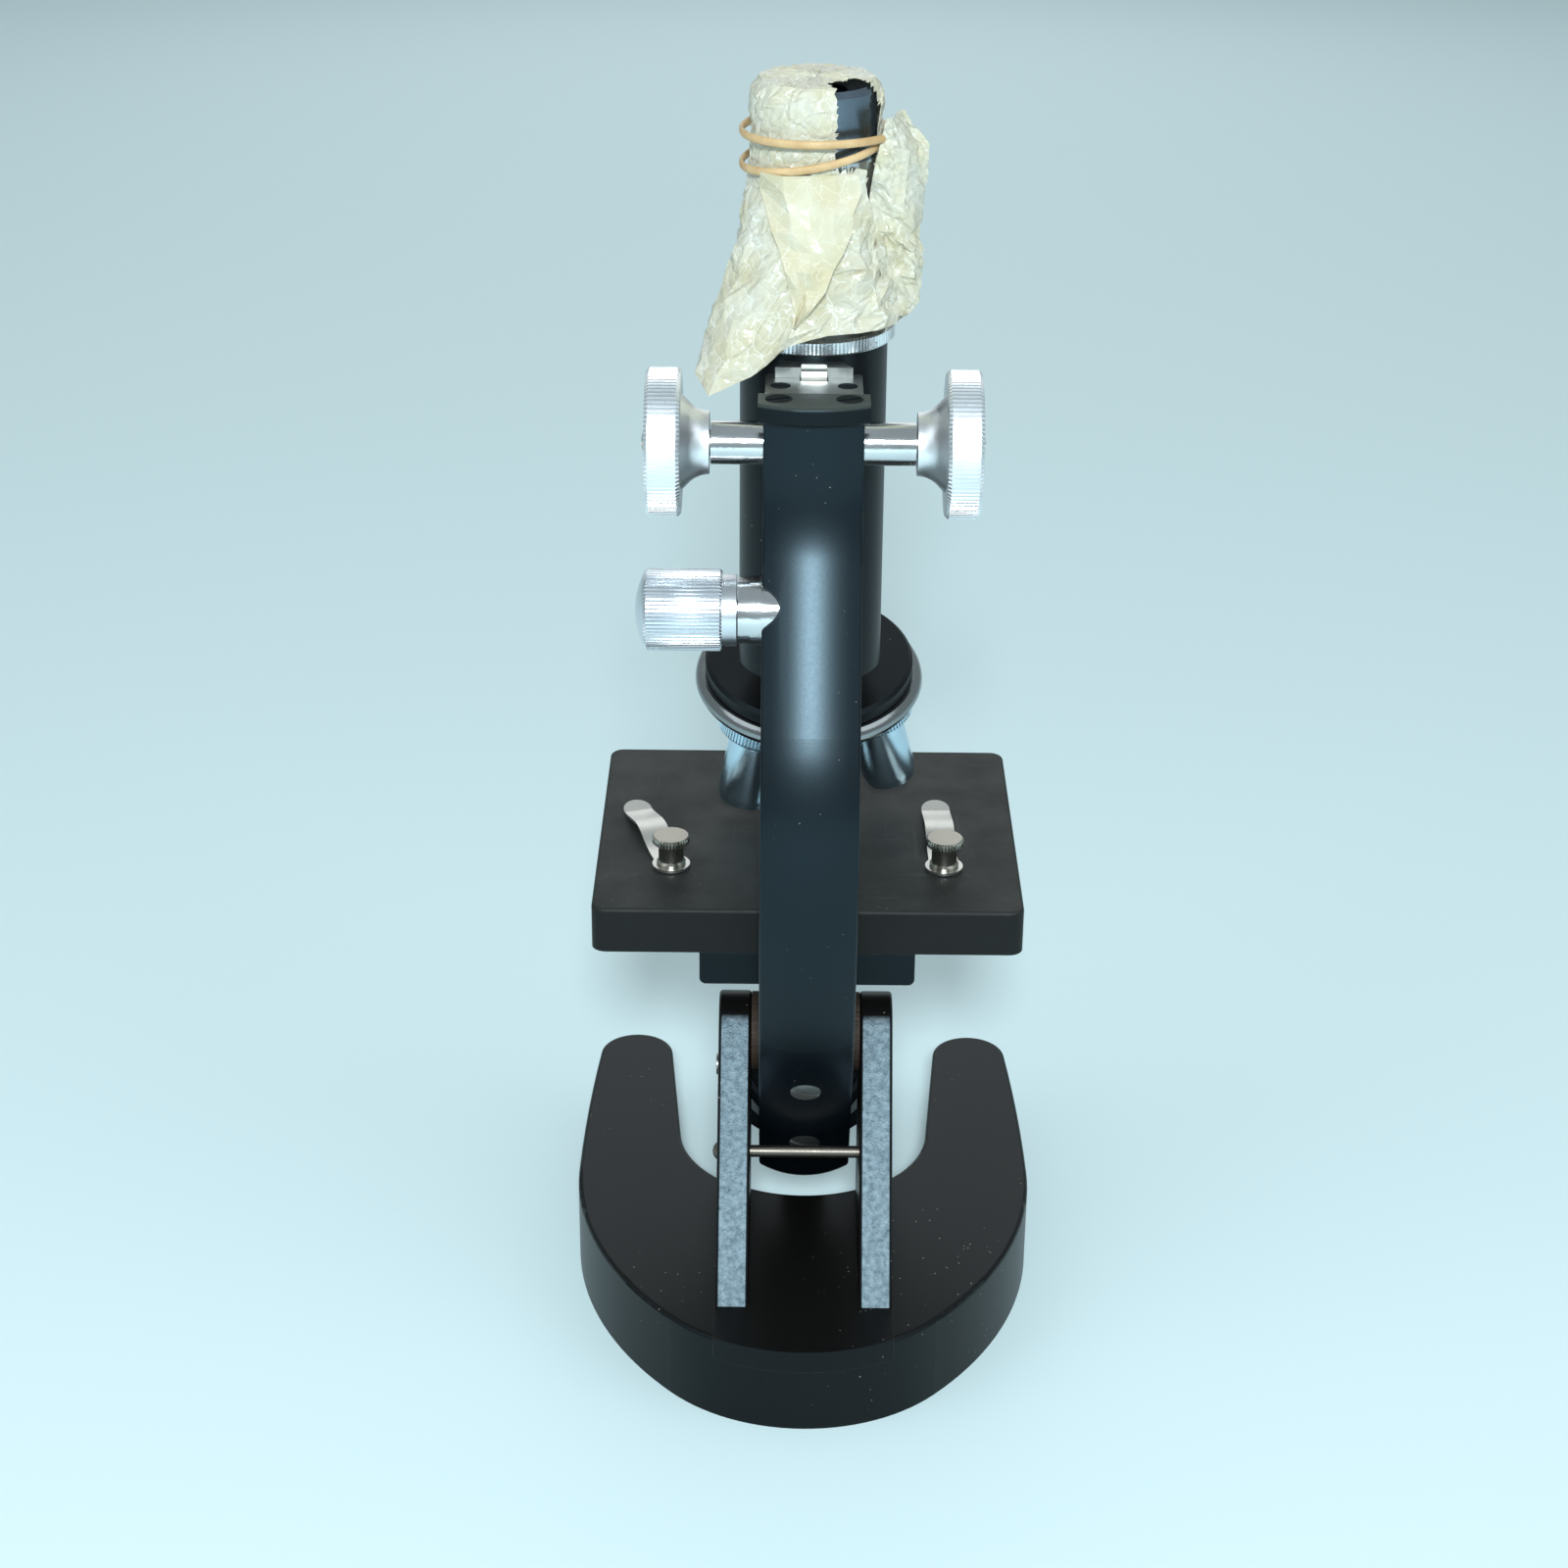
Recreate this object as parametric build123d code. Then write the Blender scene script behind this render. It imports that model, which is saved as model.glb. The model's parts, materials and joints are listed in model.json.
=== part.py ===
from build123d import *
import os
from math import asin, atan2, cos, exp, hypot, pi, radians, sin, sqrt, tan

# Compound microscope with a horseshoe base, millimetres.
# +X is the right hand seen from the arm side, +Y runs from the arm to the front, +Z is up.
# The origin is the middle of the base's footprint, on the table.

# Fits
RUN = 0.05            # radial clearance of a shaft that turns in its hole
SEAT = 0.02           # radial clearance of a pin, screw or spigot that stays put
SLIDE = 0.06          # clearance of a dovetail on each face
LOOSE = 0.3           # gap between pieces that pass each other

# Base and pillar
BASE_WIDTH = 102.0
BASE_LENGTH = 130.0
BASE_HEIGHT = 19.5
BASE_EDGE = 1.0       # rounding of the top edge
WIDEST_Y = 5.0        # where the horseshoe is widest
HEEL_R = 38.5
TIP_R = 8.7
THROAT_R = 28.5       # inside of the horseshoe
THROAT_Y = 22.2
SPLAY = 5.0           # degrees by which the prongs' inner sides open
SOLE_DEPTH = 5.0      # the pillar's foot, let into the base and flush with it
CHEEK_THICK = 7.05
CHEEK_EDGE = 0.8
CHEEK_HEEL_Y = -49.0  # foot of the sloping rear face
CHEEK_TOE_Y = -4.5    # foot of the front face
CHEEK_TOP_R = 8.7     # rounding about the pivot
PILLAR_SCREW_R = 2.5
PILLAR_SCREW_HEAD_R = 4.6
PILLAR_SCREW_HEAD = 3.0
PILLAR_SCREW_Y = (-50.0, -20.0)
PILLAR_SCREW_SINK = 0.6

# Inclination joint
PIVOT_Y = -6.0
PIVOT_Z = 62.2
PIVOT_R = 4.0
WASHER_R = 8.5
WASHER_PLAY = 0.05
WASHER_SPACE = 1.85   # between the arm and each cheek
STOP_R = 1.3
STOP_HEAD_R = 1.9
STOP_Y = -25.9        # the stop pin ends the tilt when the arm's rear meets it
STOP_Z = 43.7
STOP_DOME = 1.0

# Optical axis and stage
TUBE_GAP = 1.0        # between the body tube and the bearing block
STAGE_WIDTH = 90.0
STAGE_DEPTH = 79.0
STAGE_THICK = 10.0
STAGE_TOP = 102.5
STAGE_BACK = -26.3
STAGE_CORNER = 3.0
STAGE_EDGE = 0.8
STAGE_HOLE_R = 9.0
BRACKET_WIDTH = 45.0
BRACKET_HEIGHT = 7.4
BRACKET_FRONT = 3.0
BRACKET_CORNER = 1.4

# Arm
ARM_WIDTH = 19.8
ARM_TOP = 206.5
ARM_HEAD_BACK = -21.5
ARM_BEND_TOP = 196.0  # where the rear of the head starts to lean back
ARM_LEAN = 27.0       # degrees
ARM_UPPER_R = 40.0
ARM_SLOPE = 33.0
ARM_BACK_R = 60.0
ARM_STRAIGHT = 3.8
ARM_LOWER_R = 110.0
ARM_LOWER_TURN = 22.0
ARM_FOOT_R = 47.0
ARM_FOOT_TURN = 8.0
ARM_FOOT_LENGTH = 46.5
ARM_TOE_R = 5.0
ARM_SHIN = 13.0       # straight front of the foot
ARM_KNEE_R = 20.0
ARM_KNEE_TURN = 30.0
ARM_KNEE_RISE = 8.0
ARM_FRONT = -28.4     # front of the limb at the stage
ARM_NOTCH_R = 1.5
ARM_FRONT_TOP = 118.0
ARM_FRONT_LOWER_R = 40.0
ARM_FRONT_UPPER_R = 25.0
ARM_CROWN = 2.6       # how far the rounded rear stands past its edges
ARM_EDGE = 1.0
CAP_WIDTH = 21.9
CAP_THICK = 4.0
CAP_BULGE = 2.6       # how far the cap's rounded rear stands past its corners
CAP_SCREW_X = 6.9
CAP_SCREW_R = 1.5
CAP_SCREW_HEAD_R = 2.7
CAP_SLOT_WIDTH = 0.8
CAP_SLOT_DEPTH = 0.7
CAP_SLOT_TURN = 20.0
FOOT_SCREW_R = 1.75
FOOT_SCREW_HEAD_R = 3.2
FOOT_SCREW_HEAD = 1.2
FOOT_SCREW_LENGTH = 9.0
FOOT_SCREW_CROWN = 0.5
FOOT_SCREW_SLOT = -18.0          # degrees by which the slots stand askew
FOOT_SCREW_ALONG = (9.6, 32.4)   # along the straight rear of the foot

# Bearing block and coarse drive
BLOCK_WIDTH = 19.2
BLOCK_BOTTOM = 162.5
BLOCK_TOP = 210.4
BLOCK_EDGE = 0.6
TONGUE_NECK = 3.5
TONGUE_TAIL = 4.6
TONGUE_DEPTH = 2.8
TONGUE_BOTTOM = 177.5
FINE_TRAVEL = 0.6
PINION_Y = -9.5
PINION_Z = 198.5
MODULE = 0.5
PINION_TEETH = 14
ADDENDUM = 0.8        # in modules
DEDENDUM = 1.05       # in modules
BACKLASH = 0.1        # taken off the thickness of each tooth
PRESSURE_ANGLE = 20.0
PINION_WIDTH = 6.0
SHAFT_R = 2.6
SHAFT_SHORT = 2.6     # end of the shaft below the knob's face
PINION_ROOM = 0.45    # round the pinion's teeth, in the block's bore
PINION_SIDE = 0.7     # beside the pinion
SLEEVE_WALL = 0.65    # of the block, before and behind the pinion's sleeves
SLEEVE_REACH = 10.7   # past the block
KNOB_HUB_R = 6.3
KNOB_NECK_R = 9.65
KNOB_RIM_R = 14.8
KNOB_FLARE = 5.6      # length of the flared neck
KNOB_RIM = 6.9        # length of the rim
KNOB_EDGE = 0.8
KNOB_SCREW_R = 1.5
KNOB_SCREW_HEAD_R = 2.8
KNOB_SCREW_HEAD = 0.2
KNOB_SCREW_DOME = 0.9
KNOB_SCREW_LENGTH = 8.0
BLOCK_SCREW_X = 6.6
BLOCK_SCREW_Y = -9.6
BLOCK_SCREW_R = 1.2
BLOCK_SCREW_HEAD_R = 2.0
BLOCK_SCREW_HEAD = 1.2
BLOCK_SCREW_LENGTH = 5.0
BLOCK_SLOT_WIDTH = 0.6
BLOCK_SLOT_DEPTH = 0.5

# Body tube with its slide and rack
TUBE_R = 15.0
TUBE_WALL = 2.0
TUBE_BOTTOM = 142.6
TUBE_TOP = 214.0
RING_LIP = 1.5        # past the tube
RING_HEIGHT = 3.2
RING_SPIGOT = 10.0
DOVETAIL_TAIL = 7.7
DOVETAIL_NECK = 6.3
DOVETAIL_DEPTH = 2.5
SLIDE_ABOVE = 7.9     # start of the slide above the tube's lower end
SLIDE_BELOW = 1.5     # end of the slide below the tube's upper end
RACK_WIDTH = 5.1
RACK_INSET = 0.45     # front of the rack behind the block's face
RACK_ABOVE = 5.5      # start of the rack above the slide's lower end
RACK_BELOW = 0.5

# Draw tube and eyepiece
DRAW_R = 12.0
DRAW_WALL = 1.0
DRAW_OUT = 37.0       # how far it stands out of the body tube
EYE_HEAD = 14.0
EYE_WALL = 1.35
EYE_BARREL = 25.0     # how far the barrel goes into the draw tube
EYE_HOLE_R = 6.0
EYE_EDGE = 1.2
EYE_DISH = 1.6        # depth of the dished top at its hole
EYE_DISH_MIDDLE = 1.1
EYE_LEDGE = 1.0       # step on which the eye lens rests
EYE_LENS_THICK = 3.0
EYE_LENS_BULGE = 1.0
FIELD_LENS_THICK = 4.0
FIELD_LENS_BULGE = 1.8
FIELD_STOP_DEPTH = 11.0     # below the draw tube's end
FIELD_STOP_R = 7.0
FIELD_STOP_THICK = 1.0

# Nosepiece, turned about an axis that leans forward
NOSE_TILT = 15.0
NOSE_OFFSET = 10.9    # middle of the fixed plate's top face, in front of the optical axis
NOSE_DROP = 4.3       # and below the body tube
NOSE_PLATE_R = 22.5
NOSE_PLATE_THICK = 3.2
NOSE_PLATE_EDGE = 0.8
NOSE_NECK_R = 9.75
NOSE_SPIGOT = 7.2
NOSE_BORE_R = 8.0
SHELL_GAP = 0.2
SHELL_SWELL = 2.25    # radius past the fixed plate's
SHELL_RIM_LIP = 0.9
SHELL_CAVITY_INSET = 2.0
SHELL_EQUATOR = 5.6   # below the plate's top face
SHELL_LOWER_LIP = 0.1
SHELL_RIM_SWELL = (0.35, 1.1)    # a point of the rim's curve, in and up from the equator
SHELL_BELLY = (0.45, 0.35)       # how far the side below it bulges out and down
SHELL_WALL = 2.5
SHELL_HUB_R = 5.0
SHELL_HUB_END = 13.6
NOSE_SCREW_R = 2.5
NOSE_SCREW_HEAD_R = 4.2
NOSE_SCREW_HEAD = 2.0
OBJECTIVE_CIRCLE = 14.0
OBJECTIVE_SHOULDER = 10.0   # below the plate's top face, on that circle
OBJECTIVE_THREAD_R = 6.0
OBJECTIVE_THREAD = 3.2
OBJECTIVE_RING_R = 8.75
OBJECTIVE_RING = 3.5
OBJECTIVE_BARREL_R = 6.0
OBJECTIVE_GROOVE = 0.5      # groove below the milled ring
OBJECTIVE_GROOVE_LENGTH = 1.2
OBJECTIVE_NOSE_R = 5.4
OBJECTIVE_TAPER = 2.0
OBJECTIVE_BORE_R = 3.6
OBJECTIVE_LENS_R = 2.4
OBJECTIVE_LENS_THICK = 1.5
OBJECTIVE_LENS_BULGE = 0.4
OBJECTIVE_LENS_RECESS = 0.3
TURRET_REST = -47.0   # degrees; the turret stands between two click stops
OBJECTIVES = {"objective_left": (0, 20.5), "objective_right": (120, 20.0), "objective_short": (240, 14.0)}

# Fine drive, on the left
FINE_Y = -22.5
FINE_Z = 168.0
FINE_HALF_TURN = 150.0
SPINDLE_R = 2.2
SPINDLE_PILOT = 6.5
CAM_R = 3.6
CAM_POINTS = 12       # points on the snail's spiral
CAM_X = (-3.5, 0.5)
CAVITY_R = 6.4
CAVITY_END = 1.5
LIFT_PIN_R = 1.2
LIFT_PIN_GAP = 0.14
LIFT_PIN_IN_BLOCK = 5.0
LIFT_PIN_PAST_AXIS = 1.0
BUSH_SPIGOT = 4.7           # inside the arm
BUSH_FLANGE_LIP = 0.6       # past the cavity that it closes
BUSH_FLANGE = 2.3
BUSH_COLLAR_R = 6.7
BUSH_COLLAR = 2.4
FINE_COLLAR_R = 7.15
FINE_COLLAR = 2.9
FINE_KNOB_R = 8.15
FINE_KNOB_LENGTH = 15.4
FINE_DOME = 1.9
FINE_EDGE = 0.5
FINE_BORE_SHARE = 0.75      # how much of the knob's length the spindle reaches

# Stage clips
CLIP_INSET = 16.0     # from the stage's sides
CLIP_FROM_BACK = 19.7
CLIP_LENGTH = 30.0
CLIP_WIDTH = 6.2
CLIP_EYE_R = 4.0
CLIP_THICK = 0.6
CLIP_ARCH = 1.9
CLIP_TIP_LIFT = 0.3
CLIP_FLAT = 0.5       # level stretch past the eye
CLIP_CREST = 0.5      # where the arch is highest, as a share of the length
CLIP_TOUCH = 0.88     # where it meets the slide, likewise
CLIP_TIP_RISE = 0.84
CLIP_SWING = {"left": 18.0, "right": 1.5}   # degrees, counter-clockwise from +Y
CLIP_SCREW_R = 1.8
CLIP_SCREW_DEPTH = 7.0
CLIP_NECK_R = 2.7
CLIP_HEAD_R = 3.95
CLIP_HEAD = 1.8
CLIP_HEAD_TOP = 7.5

# Mirror
MIRROR_Z = 41.5
MIRROR_REST_TILT = 30.0
MIRROR_CELL_R = 14.0
MIRROR_CELL_WALL = 1.5
MIRROR_LIP = 1.0      # of the cell, past each glass
MIRROR_CELL_EDGE = 0.8
MIRROR_GLASS_THICK = 2.0
MIRROR_WEB = 1.0
CONCAVE_DEPTH = 0.8
FORK_ROOM = 1.5       # round the cell
FORK_THICK = 3.0
FORK_WIDTH = 6.0
FORK_STUD_R = 2.5
FORK_NUT_R = 4.0
FORK_NUT = 2.4
MIRROR_PIN_R = 1.5
MIRROR_PIN_DEEP = 1.2
MIRROR_PIN_HEAD_R = 2.4
MIRROR_PIN_HEAD = 1.4
TAIL_WIDTH = 10.0
TAIL_THICK = 3.5
TAIL_TOP_GAP = 0.3
TAIL_START = 43.0     # upper end of the strap on the arm's foot
TAIL_KNEE = 8.0       # where it bends, above its level end
TAIL_RUN = 8.0        # length of its slanting middle, seen from above
TAIL_SCREW_Z = 39.0
TAIL_SCREW_DEPTH = 6.0

# Screws under the stage
STAGE_SCREW_X = 17.0
STAGE_SCREW_Y = -13.0
BRACKET_SCREW_Y = (-19.0, -6.0)
SMALL_SCREW_R = 1.75
SMALL_SCREW_HEAD_R = 3.0
SMALL_SCREW_HEAD = 2.0
SMALL_SCREW_LENGTH = 12.0

# Film over the eyepiece, and the rubber band that holds it
FILM = 0.6
FILM_COLUMNS = 36     # creases round the film, an even number
FILM_ROOM = 1.5       # round the eyepiece, under the band
FILM_HEM_ROOM = 0.9   # round the tube's ring
FILM_ROWS = (         # below the eyepiece's top, share of the way from neck to hem, folds, creases
    (46.0, 1.0, 1.5, 0.35),
    (41.0, 0.8, 1.4, 0.45),
    (35.0, 0.6, 1.2, 0.45),
    (29.0, 0.4, 0.9, 0.4),
    (23.0, 0.2, 0.5, 0.35),
    (17.5, 0.0, 0.0, 0.0),
    (6.0, 0.0, 0.0, 0.0),
    (2.4, 0.0, 0.25, 0.3),
    (-FILM - SEAT, -0.15, 0.1, 0.1),
)
FILM_FOLDS = 7
FILM_DRIFT = 0.5      # radians by which the folds turn from one row to the next
FILM_LOOSE_ROWS = 5   # rows below the band
FILM_TAIL_TURN = 222.0
FILM_TAIL_SPREAD = 25.0     # degrees
FILM_TAIL_REACH = 10.5
FILM_TAIL_DROP = 13.5
FILM_TEAR = (292.0, 348.0)  # degrees between which the film is torn open
FILM_TEAR_ROWS = (5, 8)
FILM_FLAP = (         # corners of the right-hand flap: share from neck to hem, past it, below the top
    (0.0, 6.5, 1.0),
    (0.0, 8.9, 10.0),
    (0.3, 6.33, 27.0),
    (0.8, 2.98, 41.0),
)
FILM_FLAP_NOTCH = ((3.9, 17.0), (3.9, 5.8))   # the band passes here
BAND_R = 0.6
BAND_CROSS = 0.85     # how far the two turns part where they cross
BAND_DROP = 11.4      # below the eyepiece's top
BAND_RISE = 3.4
BAND_SPANS = 8        # pieces of the band's path, an even number

# Worked out from the above
PITCH_R = MODULE * PINION_TEETH / 2
PITCH = pi * MODULE
SLEEVE_R = PITCH_R + ADDENDUM * MODULE + PINION_ROOM
ARM_HEAD_FRONT = PINION_Y - SLEEVE_R - SLEEVE_WALL
SLIDE_BACK = PINION_Y + SLEEVE_R + SLEEVE_WALL
BLOCK_FRONT = SLIDE_BACK + DOVETAIL_DEPTH
RACK_BACK = BLOCK_FRONT - RACK_INSET
RACK_PITCH_Y = PINION_Y + PITCH_R
AXIS_Y = BLOCK_FRONT + TUBE_GAP + TUBE_R
HALF_ARM = ARM_WIDTH / 2
HALF_GAP = HALF_ARM + WASHER_SPACE
HALF_PILLAR = HALF_GAP + CHEEK_THICK
STAGE_BOTTOM = STAGE_TOP - STAGE_THICK
BRACKET_BOTTOM = STAGE_BOTTOM - BRACKET_HEIGHT
SLEEVE_INNER_X = PINION_WIDTH / 2 + PINION_SIDE
SLEEVE_OUTER_X = BLOCK_WIDTH / 2 + SLEEVE_REACH
KNOB_INNER_X = SLEEVE_OUTER_X + LOOSE
KNOB_RIM_X = KNOB_INNER_X + KNOB_FLARE
KNOB_OUTER_X = KNOB_RIM_X + KNOB_RIM
SHAFT_END = KNOB_OUTER_X - SHAFT_SHORT
SLIDE_BOTTOM = TUBE_BOTTOM + SLIDE_ABOVE
SLIDE_TOP = TUBE_TOP - SLIDE_BELOW
RACK_BOTTOM = SLIDE_BOTTOM + RACK_ABOVE
RACK_TOP = SLIDE_TOP - RACK_BELOW
TUBE_BORE_R = TUBE_R - TUBE_WALL
RING_R = TUBE_R + RING_LIP
DRAW_BOTTOM = TUBE_BOTTOM + NOSE_SPIGOT + LOOSE
DRAW_TOP = TUBE_TOP + DRAW_OUT
DRAW_BORE_R = DRAW_R - DRAW_WALL
EYE_R = DRAW_R
EYE_TOP = DRAW_TOP + EYE_HEAD
EYE_BARREL_R = DRAW_BORE_R - RUN
EYE_BARREL_BORE_R = EYE_BARREL_R - EYE_WALL
EYE_BARREL_BOTTOM = DRAW_TOP - EYE_BARREL
FIELD_STOP_Z = DRAW_TOP - FIELD_STOP_DEPTH
FILM_NECK_R = EYE_R + FILM_ROOM
FILM_HEM_R = RING_R + FILM_HEM_ROOM
FILM_TOP = EYE_TOP - FILM_ROWS[-1][0]
BAND_TURN_R = FILM_NECK_R + BAND_R + BAND_CROSS
BAND_Z = EYE_TOP - BAND_DROP
NOSE_Y = AXIS_Y + NOSE_OFFSET
NOSE_Z = TUBE_BOTTOM - NOSE_DROP
SHELL_R = NOSE_PLATE_R + SHELL_SWELL
SHELL_RIM_R = NOSE_PLATE_R + SHELL_RIM_LIP
SHELL_CAVITY_R = NOSE_PLATE_R - SHELL_CAVITY_INSET
SHELL_LOWER_R = NOSE_PLATE_R + SHELL_LOWER_LIP
CLIP_X = STAGE_WIDTH / 2 - CLIP_INSET
CLIP_Y = STAGE_BACK + CLIP_FROM_BACK
BUSH_FLANGE_R = CAVITY_R + BUSH_FLANGE_LIP
BUSH_INNER_X = HALF_ARM - BUSH_SPIGOT
BUSH_FLANGE_X = HALF_ARM + BUSH_FLANGE
BUSH_COLLAR_X = BUSH_FLANGE_X + BUSH_COLLAR
FINE_KNOB_X = BUSH_COLLAR_X + LOOSE
MIRROR_GLASS_R = MIRROR_CELL_R - MIRROR_CELL_WALL
MIRROR_CELL_THICK = MIRROR_WEB + 2 * (MIRROR_GLASS_THICK + MIRROR_LIP)
FORK_R = MIRROR_CELL_R + FORK_ROOM
FORK_OUTER_R = FORK_R + FORK_THICK
TAIL_TOP = MIRROR_Z - FORK_OUTER_R - TAIL_TOP_GAP
CAM_RISE = FINE_TRAVEL / FINE_HALF_TURN
LIFT_PIN_Z = FINE_Z + CAM_R + LIFT_PIN_R + LIFT_PIN_GAP
NOSE_PLANE = Plane(
    (0, NOSE_Y, NOSE_Z),
    x_dir=(1, 0, 0),
    z_dir=(0, -sin(radians(NOSE_TILT)), cos(radians(NOSE_TILT))),
)
UP = (Align.CENTER, Align.CENTER, Align.MIN)
AXIS = Pos(0, AXIS_Y, 0)


def face_of(*lines):
    """Close a chain of lines into a face."""
    return Face(Wire([edge for line in lines for edge in line.edges()]))


def polygon(*points):
    return face_of(Polyline(*points, close=True))


def turned(face):
    """Turn a face drawn as (radius, height) about the Z axis."""
    return revolve(Plane.XZ * face, Axis.Z)


def side_prism(face, half_width):
    """Extrude a face drawn as (y, z) to both sides of the middle plane."""
    return extrude(Plane.YZ * face, half_width, both=True)


def plan_prism(face, bottom, top):
    return extrude(Pos(0, 0, bottom) * face, top - bottom, dir=(0, 0, 1))


def rod(radius, length):
    return Cylinder(radius, length, align=UP)


def along_x(solid, x, y, z, side):
    """Lay a solid that stands on the XY plane along +X or -X, from the point given."""
    return Plane((x, y, z), x_dir=(0, 1, 0), z_dir=(side, 0, 0)).location * solid


def rod_x(radius, start, end, y, z):
    return along_x(rod(radius, end - start), start, y, z, 1)


def span_box(x, y, z):
    """A box between the two limits given on each axis."""
    size = [limits[1] - limits[0] for limits in (x, y, z)]
    middle = [(limits[0] + limits[1]) / 2 for limits in (x, y, z)]
    return Pos(*middle) * Box(*size)


def both_sides(x):
    return (-x, x)


def arc_about(centre, start, end):
    """An arc of under half a circle about a centre."""
    radius = hypot(start[0] - centre[0], start[1] - centre[1])
    lean = (start[0] + end[0] - 2 * centre[0], start[1] + end[1] - 2 * centre[1])
    size = hypot(*lean)
    middle = (centre[0] + radius * lean[0] / size, centre[1] + radius * lean[1] / size)
    return ThreePointArc(start, middle, end)


def dome(radius, rim, crown):
    """An arc with its centre on the turning axis, from a rim to its crown or to the floor of a dish."""
    rise = crown - rim
    ball = (radius**2 + rise**2) / (2 * rise)
    half = asin(radius / abs(ball)) / 2
    middle = (abs(ball) * sin(half), crown - ball * (1 - cos(half)))
    return ThreePointArc((radius, rim), middle, (0, crown))


def slotted_screw(shank_r, length, head_r, head, crown=0.0):
    """A screw whose head stands on the XY plane, with its shank below and a slot across the top."""
    slot_width = head_r * 0.28
    slot_depth = (head + crown) * 0.45
    top = head + crown
    lines = [Polyline((0, top), (0, -length), (shank_r, -length), (shank_r, 0), (head_r, 0), (head_r, head))]
    lines.append(dome(head_r, head, top) if crown else Line((head_r, head), (0, head)))
    slot = Pos(0, 0, top) * Box(3 * head_r, slot_width, 2 * slot_depth)
    return turned(face_of(*lines)) - slot


def group(solids):
    return Compound(children=list(solids))


def mirrored(point):
    return (-point[0], point[1])


def base_face():
    """The horseshoe: tangent arcs at the heel, sides and tips, with splayed inner sides."""
    splay = radians(SPLAY)
    throat = (0, THROAT_Y)
    throat_end = (THROAT_R * cos(splay), THROAT_Y - THROAT_R * sin(splay))
    tip_y = BASE_LENGTH / 2 - TIP_R
    reach = (tip_y + TIP_R * sin(splay) - throat_end[1]) / cos(splay)
    tip_start = (throat_end[0] + reach * sin(splay), throat_end[1] + reach * cos(splay))
    tip = (tip_start[0] + TIP_R * cos(splay), tip_start[1] - TIP_R * sin(splay))
    heel = (0, HEEL_R - BASE_LENGTH / 2)
    widest = (BASE_WIDTH / 2, WIDEST_Y)

    def side_arc(centre, radius):
        """Centre of the side arc that meets a corner arc, and the point where they meet."""
        across = widest[0] - centre[0]
        along = centre[1] - widest[1]
        side_r = (across**2 + along**2 - radius**2) / (2 * (across - radius))
        side = (widest[0] - side_r, widest[1])
        distance = hypot(centre[0] - side[0], centre[1] - side[1])
        share = radius / distance
        meet = (centre[0] + share * (centre[0] - side[0]), centre[1] + share * (centre[1] - side[1]))
        return side, meet

    front_side, tip_end = side_arc(tip, TIP_R)
    rear_side, heel_start = side_arc(heel, HEEL_R)
    right = [
        Line(throat_end, tip_start),
        arc_about(tip, tip_start, tip_end),
        arc_about(front_side, tip_end, widest),
        arc_about(rear_side, widest, heel_start),
    ]
    left = [mirror(line, about=Plane.YZ) for line in right]
    heel_arc = arc_about(heel, heel_start, mirrored(heel_start))
    throat_arc = arc_about(throat, throat_end, mirrored(throat_end))
    return face_of(*right, heel_arc, *left, throat_arc)


def pillar_screw_spots():
    return [(0, y) for y in PILLAR_SCREW_Y]


def horseshoe_base():
    base = plan_prism(base_face(), 0, BASE_HEIGHT)
    base = fillet(base.faces().sort_by(Axis.Z)[-1].edges(), BASE_EDGE)
    half = HALF_PILLAR + SEAT
    base -= span_box((-half, half), both_sides(BASE_LENGTH), (BASE_HEIGHT - SOLE_DEPTH, 2 * BASE_HEIGHT))
    for x, y in pillar_screw_spots():
        base -= Pos(x, y, 0) * rod(PILLAR_SCREW_R + SEAT, BASE_HEIGHT)
        base -= Pos(x, y, 0) * rod(PILLAR_SCREW_HEAD_R + SEAT, PILLAR_SCREW_SINK + PILLAR_SCREW_HEAD)
    return base


def cheek_face():
    """Side view of a cheek: a sloping rear, a round top about the pivot and a leaning front."""
    heel = (CHEEK_HEEL_Y, BASE_HEIGHT)
    toe = (CHEEK_TOE_Y, BASE_HEIGHT)

    def touch(foot, side):
        """Where the line from a foot point touches the round top."""
        run = hypot(PIVOT_Y - foot[0], PIVOT_Z - foot[1])
        heading = atan2(PIVOT_Z - foot[1], PIVOT_Y - foot[0]) + side * asin(CHEEK_TOP_R / run)
        reach = sqrt(run**2 - CHEEK_TOP_R**2)
        return (foot[0] + reach * cos(heading), foot[1] + reach * sin(heading))

    rear_top = touch(heel, 1)
    front_top = touch(toe, -1)
    crown = arc_about((PIVOT_Y, PIVOT_Z), rear_top, front_top)
    return face_of(Line(toe, heel), Line(heel, rear_top), crown, Line(front_top, toe))


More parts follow.
